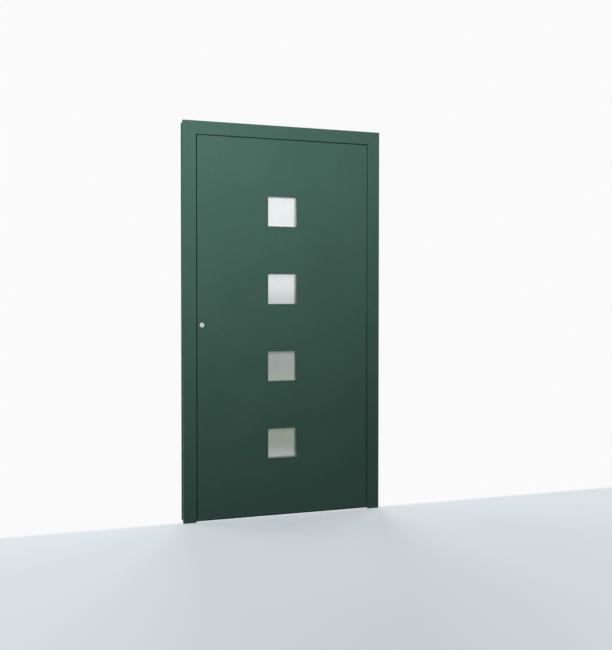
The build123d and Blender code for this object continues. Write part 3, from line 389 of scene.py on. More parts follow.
@dataclass(frozen=True)
class Dust(Effect):
    """Where dust lies: on faces that look up, and in a soft band above the floor."""

    name: ClassVar[str] = "dust"
    inputs: ClassVar[dict[str, float]] = {"Reach": 0.25, "Amount": 0.5}
    facing_span: Span = (0.4, 0.95)
    facing_share: float = 0.8
    cloud_scale: float = 34.0
    cloud_span: Span = (0.3, 0.75)

    def draw(self, graph: Graph, given: dict[str, Socket]) -> dict[str, Socket]:
        """The band falls off as the square of one less height over reach, broken up by clouds.

        Args:
            graph: The group's graph.
            given: The band's height and the amount of dust.

        Returns:
            Mask.
        """
        at = graph.place()
        upward = graph.parts(graph.add("ShaderNodeNewGeometry").outputs["Normal"])[2]
        height = graph.math("DIVIDE", graph.parts(at)[2], given["Reach"])
        near = graph.math("POWER", graph.math("SUBTRACT", 1.0, height, clamp=True), 2.0)
        lying = graph.math("MULTIPLY", graph.ramp(upward, *self.facing_span), self.facing_share)
        cloud = graph.ramp(graph.noise(at, self.cloud_scale, 5.0, 0.6), *self.cloud_span)
        patch = graph.math("MULTIPLY", graph.math("MAXIMUM", near, lying), cloud)
        return {"Mask": graph.math("MULTIPLY", patch, given["Amount"], clamp=True)}


@dataclass(frozen=True)
class Scuffs(Effect):
    """Sparse hair scratches in two directions."""

    name: ClassVar[str] = "scuffs"
    inputs: ClassVar[dict[str, float]] = {"Density": 0.5}
    directions: tuple[tuple[float, Point], ...] = ((0.5, (1.0, 1.0, 0.035)), (-0.9, (0.04, 1.0, 1.0)))
    hair_scale: float = 420.0
    hair_span: Span = (0.71, 0.76)
    patch_scale: float = 9.0
    patch_span: Span = (0.45, 0.7)

    def draw(self, graph: Graph, given: dict[str, Socket]) -> dict[str, Socket]:
        """The peaks of noise on turned and squeezed coordinates, in patches of a slow noise.

        Args:
            graph: The group's graph.
            given: The strength of the scratches.

        Returns:
            Mask.
        """
        at = graph.place()
        hairs = []
        for angle, squeeze in self.directions:
            inputs = {"Vector": at, "Angle": angle}
            turned = graph.add("ShaderNodeVectorRotate", inputs, rotation_type="Y_AXIS")
            along = graph.vector("MULTIPLY", turned.outputs[0], squeeze)
            hairs.append(graph.ramp(graph.noise(along, self.hair_scale, 2.0), *self.hair_span))
        patch = graph.ramp(graph.noise(at, self.patch_scale, 2.0), *self.patch_span)
        both = graph.math("MULTIPLY", graph.math("MAXIMUM", *hairs), patch)
        return {"Mask": graph.math("MULTIPLY", both, given["Density"])}


@dataclass(frozen=True)
class Mitre(Effect):
    """Hairline joints at 45 degrees in the frame's upper corners."""

    name: ClassVar[str] = "mitre"
    inputs: ClassVar[dict[str, float]] = {"Offset": 1.55, "Width": 0.00025}

    def draw(self, graph: Graph, given: dict[str, Socket]) -> dict[str, Socket]:
        """The joint lies where height less |x| equals the offset, and only above that height.

        Args:
            graph: The group's graph.
            given: The offset and the width of the line.

        Returns:
            Mask.
        """
        x, _, z = graph.parts(graph.place())
        past = graph.math("SUBTRACT", z, graph.math("ABSOLUTE", x))
        away = graph.math("ABSOLUTE", graph.math("SUBTRACT", past, given["Offset"]))
        widths = graph.math("DIVIDE", away, given["Width"])
        near = graph.math("SUBTRACT", 1.0, graph.math("MULTIPLY", widths, 0.5), clamp=True)
        return {"Mask": graph.math("MULTIPLY", near, graph.math("GREATER_THAN", z, given["Offset"]))}


@dataclass(frozen=True)
class Finish:
    """What all the finishes share: one Principled shader that the finish dresses.

    The edge is the radius of rounded edges, the depth is how far a relief of 1 stands out, and
    the relief is how much of it shows.
    """

    slot: Slot
    edge: float = 0.0005
    depth: float = 0.00002
    relief: float = 0.6

    def dress(self, graph: Graph) -> dict[str, object]:
        """Work out the shader's inputs; each finish has its own way.

        Args:
            graph: The material's graph.

        Returns:
            Values or output sockets by the names of the shader's inputs.
        """
        raise NotImplementedError

    def make(self) -> Material:
        """Make the material, named after its slot.

        Returns:
            The material.
        """
        material = bpy.data.materials.new(self.slot.value)
        material.use_nodes = True
        material.node_tree.nodes.clear()
        graph = Graph(material.node_tree)
        shader = graph.add("ShaderNodeBsdfPrincipled")
        graph.add("ShaderNodeOutputMaterial", {"Surface": shader.outputs[0]})
        for name, value in self.dress(graph).items():
            graph.feed(shader.inputs[name], value)
        return material

    def edges(self, graph: Graph) -> dict[str, Socket]:
        """The shared rounded-edge group at the finish's radius: Normal and Mask."""
        return graph.group("soft_edges", {"Radius": self.edge})

    def bump(self, graph: Graph, height: Socket, under: Socket | None = None) -> Socket:
        """Raise the relief from the surface.

        Args:
            graph: The material's graph.
            height: The height of the relief.
            under: A normal on which it lies.

        Returns:
            The socket of the normal.
        """
        inputs = {"Height": height, "Distance": self.depth, "Strength": self.relief}
        if under is not None:
            inputs["Normal"] = under
        return graph.add("ShaderNodeBump", inputs).outputs[0]


@dataclass(frozen=True)
class GreenCoat(Finish):
    """Dark green fine-textured powder coat on aluminium."""

    slot: Slot = Slot.GREEN_COAT
    dark: Colour = (0.0390, 0.0865, 0.0675)
    light: Colour = (0.0470, 0.0995, 0.0790)
    # dark specks where the grain is low: partly the coat's own speckle, partly painted shade in the hollows
    # of its relief
    speckle_and_shade: Colour = (0.030, 0.068, 0.053)
    speckle_and_shade_share: float = 0.42
    # painted highlight: the paler colour that the edges are painted with, standing in for light on them
    highlight_colour: Colour = (0.12, 0.19, 0.165)
    highlight_share: float = 0.22
    dusty: Colour = (0.155, 0.165, 0.150)
    scratched: Colour = (0.10, 0.16, 0.14)
    joint: Colour = (0.014, 0.026, 0.022)
    joint_depth: float = 3.0
    dust_reach: float = 0.22
    dust_amount: float = 0.07
    scuffing: float = 0.10
    mottle_span: Span = (0.3, 0.72)
    rough: Span = (0.50, 0.60)
    rough_span: Span = (0.2, 0.8)
    shine: float = 0.16
    edge: float = 0.0009
    depth: float = 0.00018
    relief: float = 0.7
    mitred: bool = False
    mitre_offset: float = 1.55

    def dress(self, graph: Graph) -> dict[str, object]:
        """Mottled green, a painted highlight on the edges, a little dust near the floor, and mitres if
        asked for.

        Args:
            graph: The material's graph.

        Returns:
            Values or output sockets by the names of the shader's inputs.
        """
        skin = graph.group("coat_skin")
        edges = self.edges(graph)
        dust = graph.group("dust", {"Reach": self.dust_reach, "Amount": self.dust_amount})
        scuffs = graph.group("scuffs", {"Density": self.scuffing})
        # Dark specks where the grain is low: the coat's speckle and painted shade in the relief's hollows
        speckle_and_shade_mask = graph.math("MULTIPLY_ADD", skin["Grain"], -self.speckle_and_shade_share, self.speckle_and_shade_share)
        # Painted highlight: edges are painted paler, as light catching them would show
        highlight_mask = graph.math("MULTIPLY", edges["Mask"], self.highlight_share)
        colour = graph.mix(graph.ramp(skin["Mottle"], *self.mottle_span), self.dark, self.light)
        colour = graph.mix(speckle_and_shade_mask, colour, self.speckle_and_shade)
        colour = graph.mix(highlight_mask, colour, self.highlight_colour)
        colour = graph.mix(dust["Mask"], colour, self.dusty)
        colour = graph.mix(scuffs["Mask"], colour, self.scratched)
        height = skin["Height"]
        if self.mitred:
            hairline = graph.group("mitre", {"Offset": self.mitre_offset})["Mask"]
            colour = graph.mix(hairline, colour, self.joint)
            height = graph.math("SUBTRACT", height, graph.math("MULTIPLY", hairline, self.joint_depth))
        return {
            "Base Color": colour,
            "Roughness": graph.ramp(skin["Mottle"], *self.rough_span, self.rough),
            "Normal": self.bump(graph, height, edges["Normal"]),
            "Specular IOR Level": self.shine,
        }


@dataclass(frozen=True)
class BareMetal(Finish):
    """Uncoated metal with lines along the way it was drawn or brushed."""

    slot: Slot = Slot.RAW_ALUMINIUM
    colour: Colour = (0.68, 0.69, 0.70)
    stain: Colour = (0.52, 0.53, 0.545)
    stain_share: float = 0.6
    line_share: float = 0.18
    # painted highlight: edges are painted this much brighter than the metal
    edge_highlight: float = 1.16
    edge_highlight_share: float = 0.5
    rough: Span = (0.34, 0.46)
    rough_span: Span = (0.3, 0.7)
    scuffing: float = 0.35
    scuffed: float = 0.15
    cloud_scale: float = 42.0
    cloud_span: Span = (0.38, 0.72)
    along: Point = (1.0, 1.0, 0.02)
    lines: float = 900.0

    def dress(self, graph: Graph) -> dict[str, object]:
        """Lined and slightly stained metal with a painted highlight on the edges.

        Args:
            graph: The material's graph.

        Returns:
            Values or output sockets by the names of the shader's inputs.
        """
        squeeze = dict(zip(("Along X", "Along Y", "Along Z"), self.along))
        lines = graph.group("draw_lines", {**squeeze, "Scale": self.lines})
        edges = self.edges(graph)
        scuffs = graph.group("scuffs", {"Density": self.scuffing})
        cloud = graph.ramp(graph.noise(graph.place(), self.cloud_scale, 4.0, 0.6), *self.cloud_span)
        # Painted highlight: the colour that the edges are painted with, brighter than the metal
        highlight_colour = tuple(min(1.0, part * self.edge_highlight) for part in self.colour)
        colour = graph.mix(graph.math("MULTIPLY", cloud, self.stain_share), self.colour, self.stain)
        colour = graph.mix(graph.math("MULTIPLY", lines["Mask"], self.line_share), colour, self.stain)
        colour = graph.mix(graph.math("MULTIPLY", edges["Mask"], self.edge_highlight_share), colour, highlight_colour)
        rough = graph.ramp(lines["Height"], *self.rough_span, self.rough)
        return {
            "Base Color": colour,
            "Roughness": graph.math("MULTIPLY_ADD", scuffs["Mask"], self.scuffed, rough),
            "Metallic": 1.0,
            "Normal": self.bump(graph, lines["Height"], edges["Normal"]),
        }


@dataclass(frozen=True)
class Anodised(BareMetal):
    """Satin anodised aluminium of the threshold and beads, lined along the door's width."""

    slot: Slot = Slot.ANODISED
    colour: Colour = (0.74, 0.75, 0.765)
    stain: Colour = (0.63, 0.64, 0.655)
    rough: Span = (0.30, 0.42)
    along: Point = (0.02, 1.0, 1.0)


@dataclass(frozen=True)
class Stainless(BareMetal):
    """Brushed stainless steel of plates, hinges and handles."""

    slot: Slot = Slot.STAINLESS
    colour: Colour = (0.74, 0.735, 0.725)
    stain: Colour = (0.60, 0.60, 0.595)
    rough: Span = (0.22, 0.36)
    lines: float = 1300.0


@dataclass(frozen=True)
class LeverSteel(Stainless):
    """Stainless steel of the lever, brushed along its grip."""

    along: Point = (0.03, 1.0, 1.0)
    depth: float = 0.000012


@dataclass(frozen=True)
class LockSteel(BareMetal):
    """Zinc-plated steel of the lock's cases, bolts and rods."""

    slot: Slot = Slot.LOCK_STEEL
    colour: Colour = (0.60, 0.615, 0.63)
    stain: Colour = (0.50, 0.49, 0.44)
    rough: Span = (0.30, 0.50)
    lines: float = 500.0


@dataclass(frozen=True)
class SpunSteel(Finish):
    """Stainless steel with fine rings round one axis through the leaf, as left by turning."""

    slot: Slot = Slot.STAINLESS
    centre: Point = (LOCK_X, 0.0, HANDLE_Z)
    colour: Colour = (0.75, 0.745, 0.735)
    stain: Colour = (0.62, 0.62, 0.615)
    stain_share: float = 0.5
    # painted highlight: the paler colour that the edges are painted with
    edge_highlight: Colour = (0.86, 0.855, 0.845)
    edge_highlight_share: float = 0.5
    rough: Span = (0.20, 0.34)
    rough_span: Span = (0.3, 0.7)
    cloud_scale: float = 55.0
    cloud_span: Span = (0.35, 0.72)
    rings: float = 3200.0

    def dress(self, graph: Graph) -> dict[str, object]:
        """Rings by distance from the axis, in height and roughness, with stains and a painted highlight on
        the edges.

        Args:
            graph: The material's graph.

        Returns:
            Values or output sockets by the names of the shader's inputs.
        """
        at = graph.place()
        across = graph.vector("MULTIPLY", graph.vector("SUBTRACT", at, self.centre), (1.0, 0.0, 1.0))
        away = graph.vector("LENGTH", across, out="Value")
        inputs = {"W": away, "Scale": self.rings, "Detail": 2.0}
        rings = graph.add("ShaderNodeTexNoise", inputs, noise_dimensions="1D").outputs["Fac"]
        cloud = graph.ramp(graph.noise(at, self.cloud_scale, 4.0, 0.6), *self.cloud_span)
        edges = self.edges(graph)
        colour = graph.mix(graph.math("MULTIPLY", cloud, self.stain_share), self.colour, self.stain)
        # Painted highlight on the edges
        colour = graph.mix(graph.math("MULTIPLY", edges["Mask"], self.edge_highlight_share), colour, self.edge_highlight)
        return {
            "Base Color": colour,
            "Roughness": graph.ramp(rings, *self.rough_span, self.rough),
            "Metallic": 1.0,
            "Normal": self.bump(graph, rings, edges["Normal"]),
        }


@dataclass(frozen=True)
class Nickel(SpunSteel):
    """Satin nickel of the key cylinder, turned about its axis."""

    slot: Slot = Slot.NICKEL
    centre: Point = (LOCK_X, 0.0, LOCK_Z)
    colour: Colour = (0.94, 0.935, 0.915)
    stain: Colour = (0.87, 0.86, 0.835)
    # painted highlight colour of the edges
    edge_highlight: Colour = (0.97, 0.965, 0.95)
    rough: Span = (0.36, 0.46)


@dataclass(frozen=True)
class Polyamide(Finish):
    """Black glass-fibre polyamide bars with faint extrusion lines."""

    slot: Slot = Slot.POLYAMIDE
    black: Colour = (0.018, 0.018, 0.019)
    fibre: Colour = (0.075, 0.073, 0.068)
    fibre_share: float = 0.5
    fibre_scale: float = 900.0
    fibre_span: Span = (0.64, 0.72)
    stretch: Point = (1.0, 1.0, 0.12)
    line_stretch: float = 0.02
    line_scale: float = 700.0
    rough: Span = (0.52, 0.66)
    depth: float = 0.00004
    relief: float = 0.5

    def dress(self, graph: Graph) -> dict[str, object]:
        """Matte black with fibres that catch the light.

        Args:
            graph: The material's graph.

        Returns:
            Values or output sockets by the names of the shader's inputs.
        """
        upright = {"Along X": 1.0, "Along Y": 1.0, "Along Z": self.line_stretch}
        lines = graph.group("draw_lines", {**upright, "Scale": self.line_scale})
        edges = self.edges(graph)
        long = graph.vector("MULTIPLY", graph.place(), self.stretch)
        fibres = graph.ramp(graph.noise(long, self.fibre_scale, 1.0), *self.fibre_span)
        shining = graph.math("MULTIPLY", fibres, self.fibre_share)
        return {
            "Base Color": graph.mix(shining, self.black, self.fibre),
            "Roughness": graph.ramp(lines["Mask"], 0.0, 1.0, self.rough),
            "Normal": self.bump(graph, lines["Height"], edges["Normal"]),
        }


@dataclass(frozen=True)
class SealRubber(Finish):
    """Black sealing rubber with a faint grey bloom."""

    slot: Slot = Slot.SEAL_RUBBER
    black: Colour = (0.012, 0.012, 0.013)
    bloom: Colour = (0.040, 0.041, 0.042)
    bloom_share: float = 0.4
    bloom_scale: float = 60.0
    bloom_span: Span = (0.42, 0.75)
    dusty: Colour = (0.10, 0.10, 0.095)
    dust_reach: float = 0.4
    dust_amount: float = 0.4
    rough: Span = (0.48, 0.72)
    grain_scale: float = 1600.0
    depth: float = 0.00005
    relief: float = 0.5

    def dress(self, graph: Graph) -> dict[str, object]:
        """Very dark, soft sheen, cloudy bloom and dust.

        Args:
            graph: The material's graph.

        Returns:
            Values or output sockets by the names of the shader's inputs.
        """
        at = graph.place()
        cloud = graph.ramp(graph.noise(at, self.bloom_scale, 5.0, 0.65), *self.bloom_span)
        dust = graph.group("dust", {"Reach": self.dust_reach, "Amount": self.dust_amount})
        colour = graph.mix(graph.math("MULTIPLY", cloud, self.bloom_share), self.black, self.bloom)
        return {
            "Base Color": graph.mix(dust["Mask"], colour, self.dusty),
            "Roughness": graph.ramp(cloud, 0.0, 1.0, self.rough),
            "Normal": self.bump(graph, graph.noise(at, self.grain_scale, 2.0)),
        }


@dataclass(frozen=True)
class ClearGlass(Finish):
    """Clear float glass, green towards its edges."""

    slot: Slot = Slot.CLEAR_GLASS
    middle_x: float = -0.012
    half: float = 0.095
    first_window: float = 0.3945
    pitch: float = 0.416
    green_edge: float = 0.004
    clear: Colour = (0.985, 0.995, 0.99)
    green: Colour = (0.30, 0.62, 0.50)
    smear_scale: float = 18.0
    smear_span: Span = (0.45, 0.8)
    rough: Span = (0.0, 0.03)
    index: float = 1.95

    def dress(self, graph: Graph) -> dict[str, object]:
        """Colourless in the middle, sea green in the last few millimetres of each pane.

        The place in a pane is |x - middle| across, and height modulo the pitch less half of it up.

        Args:
            graph: The material's graph.

        Returns:
            Values or output sockets by the names of the shader's inputs.
        """
        at = graph.place()
        x, _, z = graph.parts(at)
        across = graph.math("ABSOLUTE", graph.math("SUBTRACT", x, self.middle_x))
        row = graph.math("SUBTRACT", z, self.first_window - self.pitch / 2)
        up = graph.math("SUBTRACT", graph.math("MODULO", row, self.pitch), self.pitch / 2)
        far = graph.math("MAXIMUM", across, graph.math("ABSOLUTE", up))
        rim = graph.ramp(far, self.half - self.green_edge, self.half)
        smear = graph.noise(at, self.smear_scale, 4.0, 0.6)
        return {
            "Base Color": graph.mix(rim, self.clear, self.green),
            "Roughness": graph.ramp(smear, *self.smear_span, self.rough),
            "Transmission Weight": 1.0,
            "IOR": self.index,
        }


@dataclass(frozen=True)
class SatinGlass(Finish):
    """Acid-etched glass that scatters the light white."""

    slot: Slot = Slot.SATIN_GLASS
    dull: Colour = (0.61, 0.62, 0.62)
    milky: Colour = (0.645, 0.655, 0.655)
    milky_span: Span = (0.3, 0.7)
    rough: Span = (0.48, 0.58)
    rough_span: Span = (0.2, 0.8)
    grain_scale: float = 2200.0
    cloud_scale: float = 24.0
    depth: float = 0.00003
    index: float = 1.5

    def dress(self, graph: Graph) -> dict[str, object]:
        """Milky white with a fine etched grain.

        Args:
            graph: The material's graph.

        Returns:
            Values or output sockets by the names of the shader's inputs.
        """
        at = graph.place()
        cloud = graph.noise(at, self.cloud_scale)
        return {
            "Base Color": graph.mix(graph.ramp(cloud, *self.milky_span), self.dull, self.milky),
            "Roughness": graph.ramp(cloud, *self.rough_span, self.rough),
            "Normal": self.bump(graph, graph.noise(at, self.grain_scale, 2.0)),
            "IOR": self.index,
        }


@dataclass(frozen=True)
class SpacerFoil(Finish):
    """Dark spacer bars with rows of vent slots towards the gap between panes."""

    slot: Slot = Slot.SPACER
    foil: Colour = (0.055, 0.060, 0.060)
    # painted shade: the near black of the slots stands in for the shade inside them
    slot_shade: Colour = (0.012, 0.012, 0.012)
    rough: Span = (0.36, 0.8)
    slot_pitch: float = 0.002
    slot_end: Span = (0.00022, 0.00032)
    row_start: float = 0.028
    row_pitch: float = 0.0105
    row_place: float = 0.0085
    row_edge: Span = (0.0006, 0.0008)
    depth: float = 0.0002

    def dress(self, graph: Graph) -> dict[str, object]:
        """Charcoal with a line of tiny slots, two millimetres apart along the bars, painted near black as
        the shade inside them.

        A slot lies where x + z folds back near a multiple of the pitch, and a row where y, folded
        at the distance of the two spacers, is near the middle of a bar.

        Args:
            graph: The material's graph.

        Returns:
            Values or output sockets by the names of the shader's inputs.
        """
        x, y, z = graph.parts(graph.place())
        along = graph.math("PINGPONG", graph.math("ADD", x, z), self.slot_pitch / 2)
        slots = graph.ramp(along, *self.slot_end, (1.0, 0.0))
        deep = graph.math("PINGPONG", graph.math("ADD", y, self.row_start), self.row_pitch)
        off = graph.math("ABSOLUTE", graph.math("SUBTRACT", deep, self.row_place))
        holes = graph.math("MULTIPLY", slots, graph.ramp(off, *self.row_edge, (1.0, 0.0)))
        return {
            # Painted shade in the slots
            "Base Color": graph.mix(holes, self.foil, self.slot_shade),
            "Roughness": graph.ramp(holes, 0.0, 1.0, self.rough),
            "Normal": self.bump(graph, graph.math("SUBTRACT", 1.0, holes), self.edges(graph)["Normal"]),
        }


@dataclass(frozen=True)
class CoreFoam(Finish):
    """Pale yellow closed-cell foam."""

    slot: Slot = Slot.FOAM
    pale: Colour = (0.80, 0.755, 0.60)
    deep: Colour = (0.62, 0.56, 0.40)
    fine_scale: float = 900.0
    large_scale: float = 240.0
    large_share: float = 0.6
    deep_span: Span = (0.2, 1.1)
    rough: Span = (0.8, 0.95)
    depth: float = 0.0004

    def dress(self, graph: Graph) -> dict[str, object]:
        """Small bubbles of two sizes, darker between the cells.

        Args:
            graph: The material's graph.

        Returns:
            Values or output sockets by the names of the shader's inputs.
        """
        at = graph.place()
        fine = graph.add("ShaderNodeTexVoronoi", {"Vector": at, "Scale": self.fine_scale})
        large = graph.add("ShaderNodeTexVoronoi", {"Vector": at, "Scale": self.large_scale})
        terms = (large.outputs["Distance"], self.large_share, fine.outputs["Distance"])
        height = graph.math("MULTIPLY_ADD", *terms)
        return {
            "Base Color": graph.mix(graph.ramp(height, *self.deep_span), self.pale, self.deep),
            "Roughness": graph.ramp(height, 0.0, 1.0, self.rough),
            "Normal": self.bump(graph, height),
        }


@dataclass(frozen=True)
class Grid:
    """A surface of rows by columns of points, as one array of shape (rows, columns, 3)."""

    points: np.ndarray
    close_columns: bool = False

    def faces(self, first: int) -> np.ndarray:
        """Quads between neighbouring rows and columns.

        Args:
            first: Number of the grid's first vertex in the mesh.

        Returns:
            An array of four vertex numbers for each face.
        """
        rows, columns = self.points.shape[:2]
        numbers = np.arange(rows * columns).reshape(rows, columns)
        if self.close_columns:
            numbers = np.hstack((numbers, numbers[:, :1]))
        quads = (numbers[:-1, :-1], numbers[:-1, 1:], numbers[1:, 1:], numbers[1:, :-1])
        return np.stack(quads, axis=-1).reshape(-1, 4) + first


@dataclass(frozen=True)
class Workshop:
    """Makes pieces from grids, gives them their finish and fixes them to a body."""

    materials: dict[Slot, Material]

    def piece(
        self, name: str, grids: list[Grid], body: str, slot: Slot, replaces: tuple[str, ...] = ()
    ) -> None:
        """Join grids into one object, in which equal points are merged.

        Args:
            name: Name of the piece.
            grids: Its surfaces.
            body: The CAD body that it moves with.
            slot: The finish.
            replaces: CAD nodes that it stands for.
        """
        points = [grid.points.reshape(-1, 3) for grid in grids]
        firsts = np.cumsum([0] + [len(part) for part in points])
        quads = np.vstack([grid.faces(first) for grid, first in zip(grids, firsts)])
        corners = np.vstack(points)
        rounded = np.round(corners, MERGE_DIGITS)
        _, kept, merged = np.unique(rounded, axis=0, return_index=True, return_inverse=True)
        mesh = bpy.data.meshes.new(name)
        mesh.from_pydata(corners[kept].tolist(), [], self.clean(merged.reshape(-1)[quads]))
        mesh.polygons.foreach_set("use_smooth", np.ones(len(mesh.polygons), dtype=bool))
        mesh.validate()
        mesh.set_sharp_from_angle(angle=SHARP_ANGLE)
        mesh.materials.append(self.materials[slot])
        obj = bpy.data.objects.new(name, mesh)
        bpy.context.scene.collection.objects.link(obj)
        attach(obj, body)
        if replaces:
            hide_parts(*replaces)
        LOG.info("piece %s: %d faces on %s", name, len(mesh.polygons), body)

    def clean(self, quads: np.ndarray) -> list[list[int]]:
        """Turn quads with two merged corners into triangles, and drop those with fewer corners.

        A corner counts as merged when it equals the next one round the face.

        Args:
            quads: An array of four vertex numbers for each face.

        Returns:
            The faces that are left, as lists of vertex numbers.
        """
        merged = quads == np.roll(quads, -1, axis=1)
        crossed = (quads[:, 0] == quads[:, 2]) | (quads[:, 1] == quads[:, 3])
        count = merged.sum(axis=1)
        whole = quads[(count == 0) & ~crossed]
        bent = (count == 1) & ~crossed
        triangles = quads[bent][~merged[bent]].reshape(-1, 3)
        return whole.tolist() + triangles.tolist()


@dataclass(frozen=True)
class Turning:
    """A place and a direction for turned shapes: the axis points out of the part."""

    centre: Point
    axis: Axis
    outwards: int = 1

    def put(self, radius: np.ndarray, height: np.ndarray, angle: np.ndarray) -> np.ndarray:
        """Place points given in cylinder coordinates round the axis.

        The two cross directions are centre plus radius times the cosine and the sine of the
        angle, in the order that makes a right-handed set with the axis.

        Args:
            radius: Distances from the axis.
            height: Heights along the axis.
            angle: Angles round the axis.

        Returns:
            An array of points, with the shape of the three arrays together and 3 at the end.
        """
        along = self.axis.value
        first, second = (along + 1) % 3, (along + 2) % 3
        points = np.zeros(np.broadcast(radius, height, angle).shape + (3,))
        points[..., along] = self.centre[along] + self.outwards * height
        points[..., first] = self.centre[first] + radius * np.cos(angle)
        points[..., second] = self.centre[second] + self.outwards * radius * np.sin(angle)
        return points

    def revolve(self, profile: np.ndarray, sides: int) -> Grid:
        """Turn a profile once round the axis.

        Args:
            profile: Pairs of radius and height, in order from base to tip.
            sides: Number of sides of the turned shape.

        Returns:
            The surface.
        """
        angle = np.linspace(0, FULL_TURN, sides, endpoint=False)
        radius, height = profile[:, 0, None], profile[:, 1, None]
        return Grid(self.put(radius, height, angle[None, :]), close_columns=True)


@dataclass(frozen=True)
class Screw:
    """One screw: a head with a six-lobed recess on a threaded shank.

    Shares of the head's rise are its side and its shoulder, and shares of the recess are its lip,
    depths and widths. Thread sides go round a turn, and thread rows along a pitch.
    """

    place: Turning
    head: float
    rise: float
    shank: float
    length: float
    lobe: float = 0.0019
    deep: float = 0.0016
    sides: int = 48
    lobes: int = 6
    swell: float = 0.13
    side: float = 0.38
    shoulder: float = 0.45
    lip: float = 1.08
    lip_drop: float = 0.00008
    crown_rows: int = 6
    pitch: float = 0.0011
    thread_depth: float = 0.0004
    thread_sides: int = 20
    thread_rows: int = 6
    tip: float = 0.003
    recess_depths: tuple[float, ...] = (0.85, 1.0, 1.0)
    recess_widths: tuple[float, ...] = (1.0, 1.0, 0.93, 0.0)

    def crown(self) -> Grid:
        """The head: up its side, over the crown, down the recess and across its floor.

        The crown rises as a sine while its outline goes from the round rim to the recess, whose
        radius is a circle's, swelling six times round as a cosine.

        Returns:
            The surface.
        """
        angle = np.linspace(0, FULL_TURN, self.sides, endpoint=False)[None, :]
        flat = np.zeros_like(angle)
        lobes = self.lobe * (1 + self.swell * np.cos(self.lobes * angle))
        share = np.linspace(0.0, 1.0, self.crown_rows)[1:, None]
        arch = self.shoulder + (1 - self.shoulder) * np.sin(share * np.pi / 2)
        down = np.array([self.lip_drop, *(self.deep * part for part in self.recess_depths)])[:, None]
        inwards = np.array(self.recess_widths)[:, None]
        radii = (
            np.full((2, 1), self.head) + flat,
            self.head * (1 - share) + self.lip * lobes * share,
            inwards * lobes,
        )
        heights = (
            np.array([0.0, self.side * self.rise])[:, None] + flat,
            self.rise * arch + flat,
            self.rise - down + flat,
        )
        points = self.place.put(np.vstack(radii), np.vstack(heights), angle)
        return Grid(points, close_columns=True)

    def thread(self) -> Grid:
        """The shank, closed by the head's underside and a point.

        The radius goes up and down with height over pitch less angle over a turn, which is a
        helix, and shrinks to nothing over the tip.

        Returns:
            The surface.
        """
        rows = int(self.length / self.pitch * self.thread_rows)
        angle = np.linspace(0, FULL_TURN, self.thread_sides, endpoint=False)[None, :]
        down = np.linspace(0.0, self.length, rows)[:, None]
        turn = np.abs(2 * np.mod(down / self.pitch - angle / FULL_TURN, 1.0) - 1)
        taper = np.clip((self.length - down) / self.tip, 0.0, 1.0)
        radius = (self.shank - self.thread_depth * (1 - turn)) * taper
        radius[0] = self.head
        return Grid(self.place.put(radius[::-1], -down[::-1], angle), close_columns=True)

    def grids(self) -> list[Grid]:
        """The head and the shank."""
        return [self.crown(), self.thread()]


@dataclass(frozen=True)
class HingeFittings:
    """Screws and caps of the three barrel hinges.

    The cap's steps are heights as shares of the cap: where its foot ends, where its side starts
    and where its crown starts. The dome is the span of angles that the crown goes through.
    """

    shop: Workshop
    heights: tuple[float, ...] = (0.230, 1.040, 1.850)
    spread: float = 0.042
    seat: float = 0.046
    frame_wing_x: float = 0.5275
    leaf_wing_x: float = 0.4695
    axis: Pair = (0.4985, 0.053)
    barrel: float = 0.010
    reach: float = 0.060
    cap: float = 0.003
    cap_foot: float = 0.97
    cap_steps: tuple[float, ...] = (0.12, 0.18, 0.45)
    cap_sides: int = 40
    dome: Span = (0.15, 1.45)
    dome_points: int = 8

    def screws(self) -> None:
        """Pan-head screws of all the wings, three to a wing."""
        for name, x in (("frame", self.frame_wing_x), ("leaf", self.leaf_wing_x)):
            grids = []
            for z in self.heights:
                for step in (-1, 0, 1):
                    place = Turning((x, self.seat, z + step * self.spread), Axis.Y)
                    grids += Screw(place, head=0.0055, rise=0.003, shank=0.0027, length=0.013).grids()
            self.shop.piece(f"{name}_wing_screws", grids, name, Slot.STAINLESS, (f"{name}_hinge_screws",))

    def caps(self) -> None:
        """Caps at both ends of each barrel: a narrow foot, a short side and a quarter-round dome."""
        foot = self.barrel * self.cap_foot
        low, step, shoulder = (self.cap * share for share in self.cap_steps)
        side = [(0.0, 0.0), (foot, 0.0), (foot, low), (self.barrel, step), (self.barrel, shoulder)]
        angle = np.linspace(*self.dome, self.dome_points)
        rise = shoulder + (self.cap - shoulder) * np.sin(angle)
        crown = np.column_stack((self.barrel * np.cos(angle), rise))
        profile = np.vstack((side, crown, [(0.0, self.cap)]))
        grids = []
        for z in self.heights:
            for end in (-1, 1):
                centre = (*self.axis, z + end * self.reach)
                grids.append(Turning(centre, Axis.Z, end).revolve(profile, self.cap_sides))
        self.shop.piece("barrel_caps", grids, "frame", Slot.STAINLESS, ("hinge_caps",))

    def build(self) -> None:
        """Make screws and caps."""
        self.screws()
        self.caps()


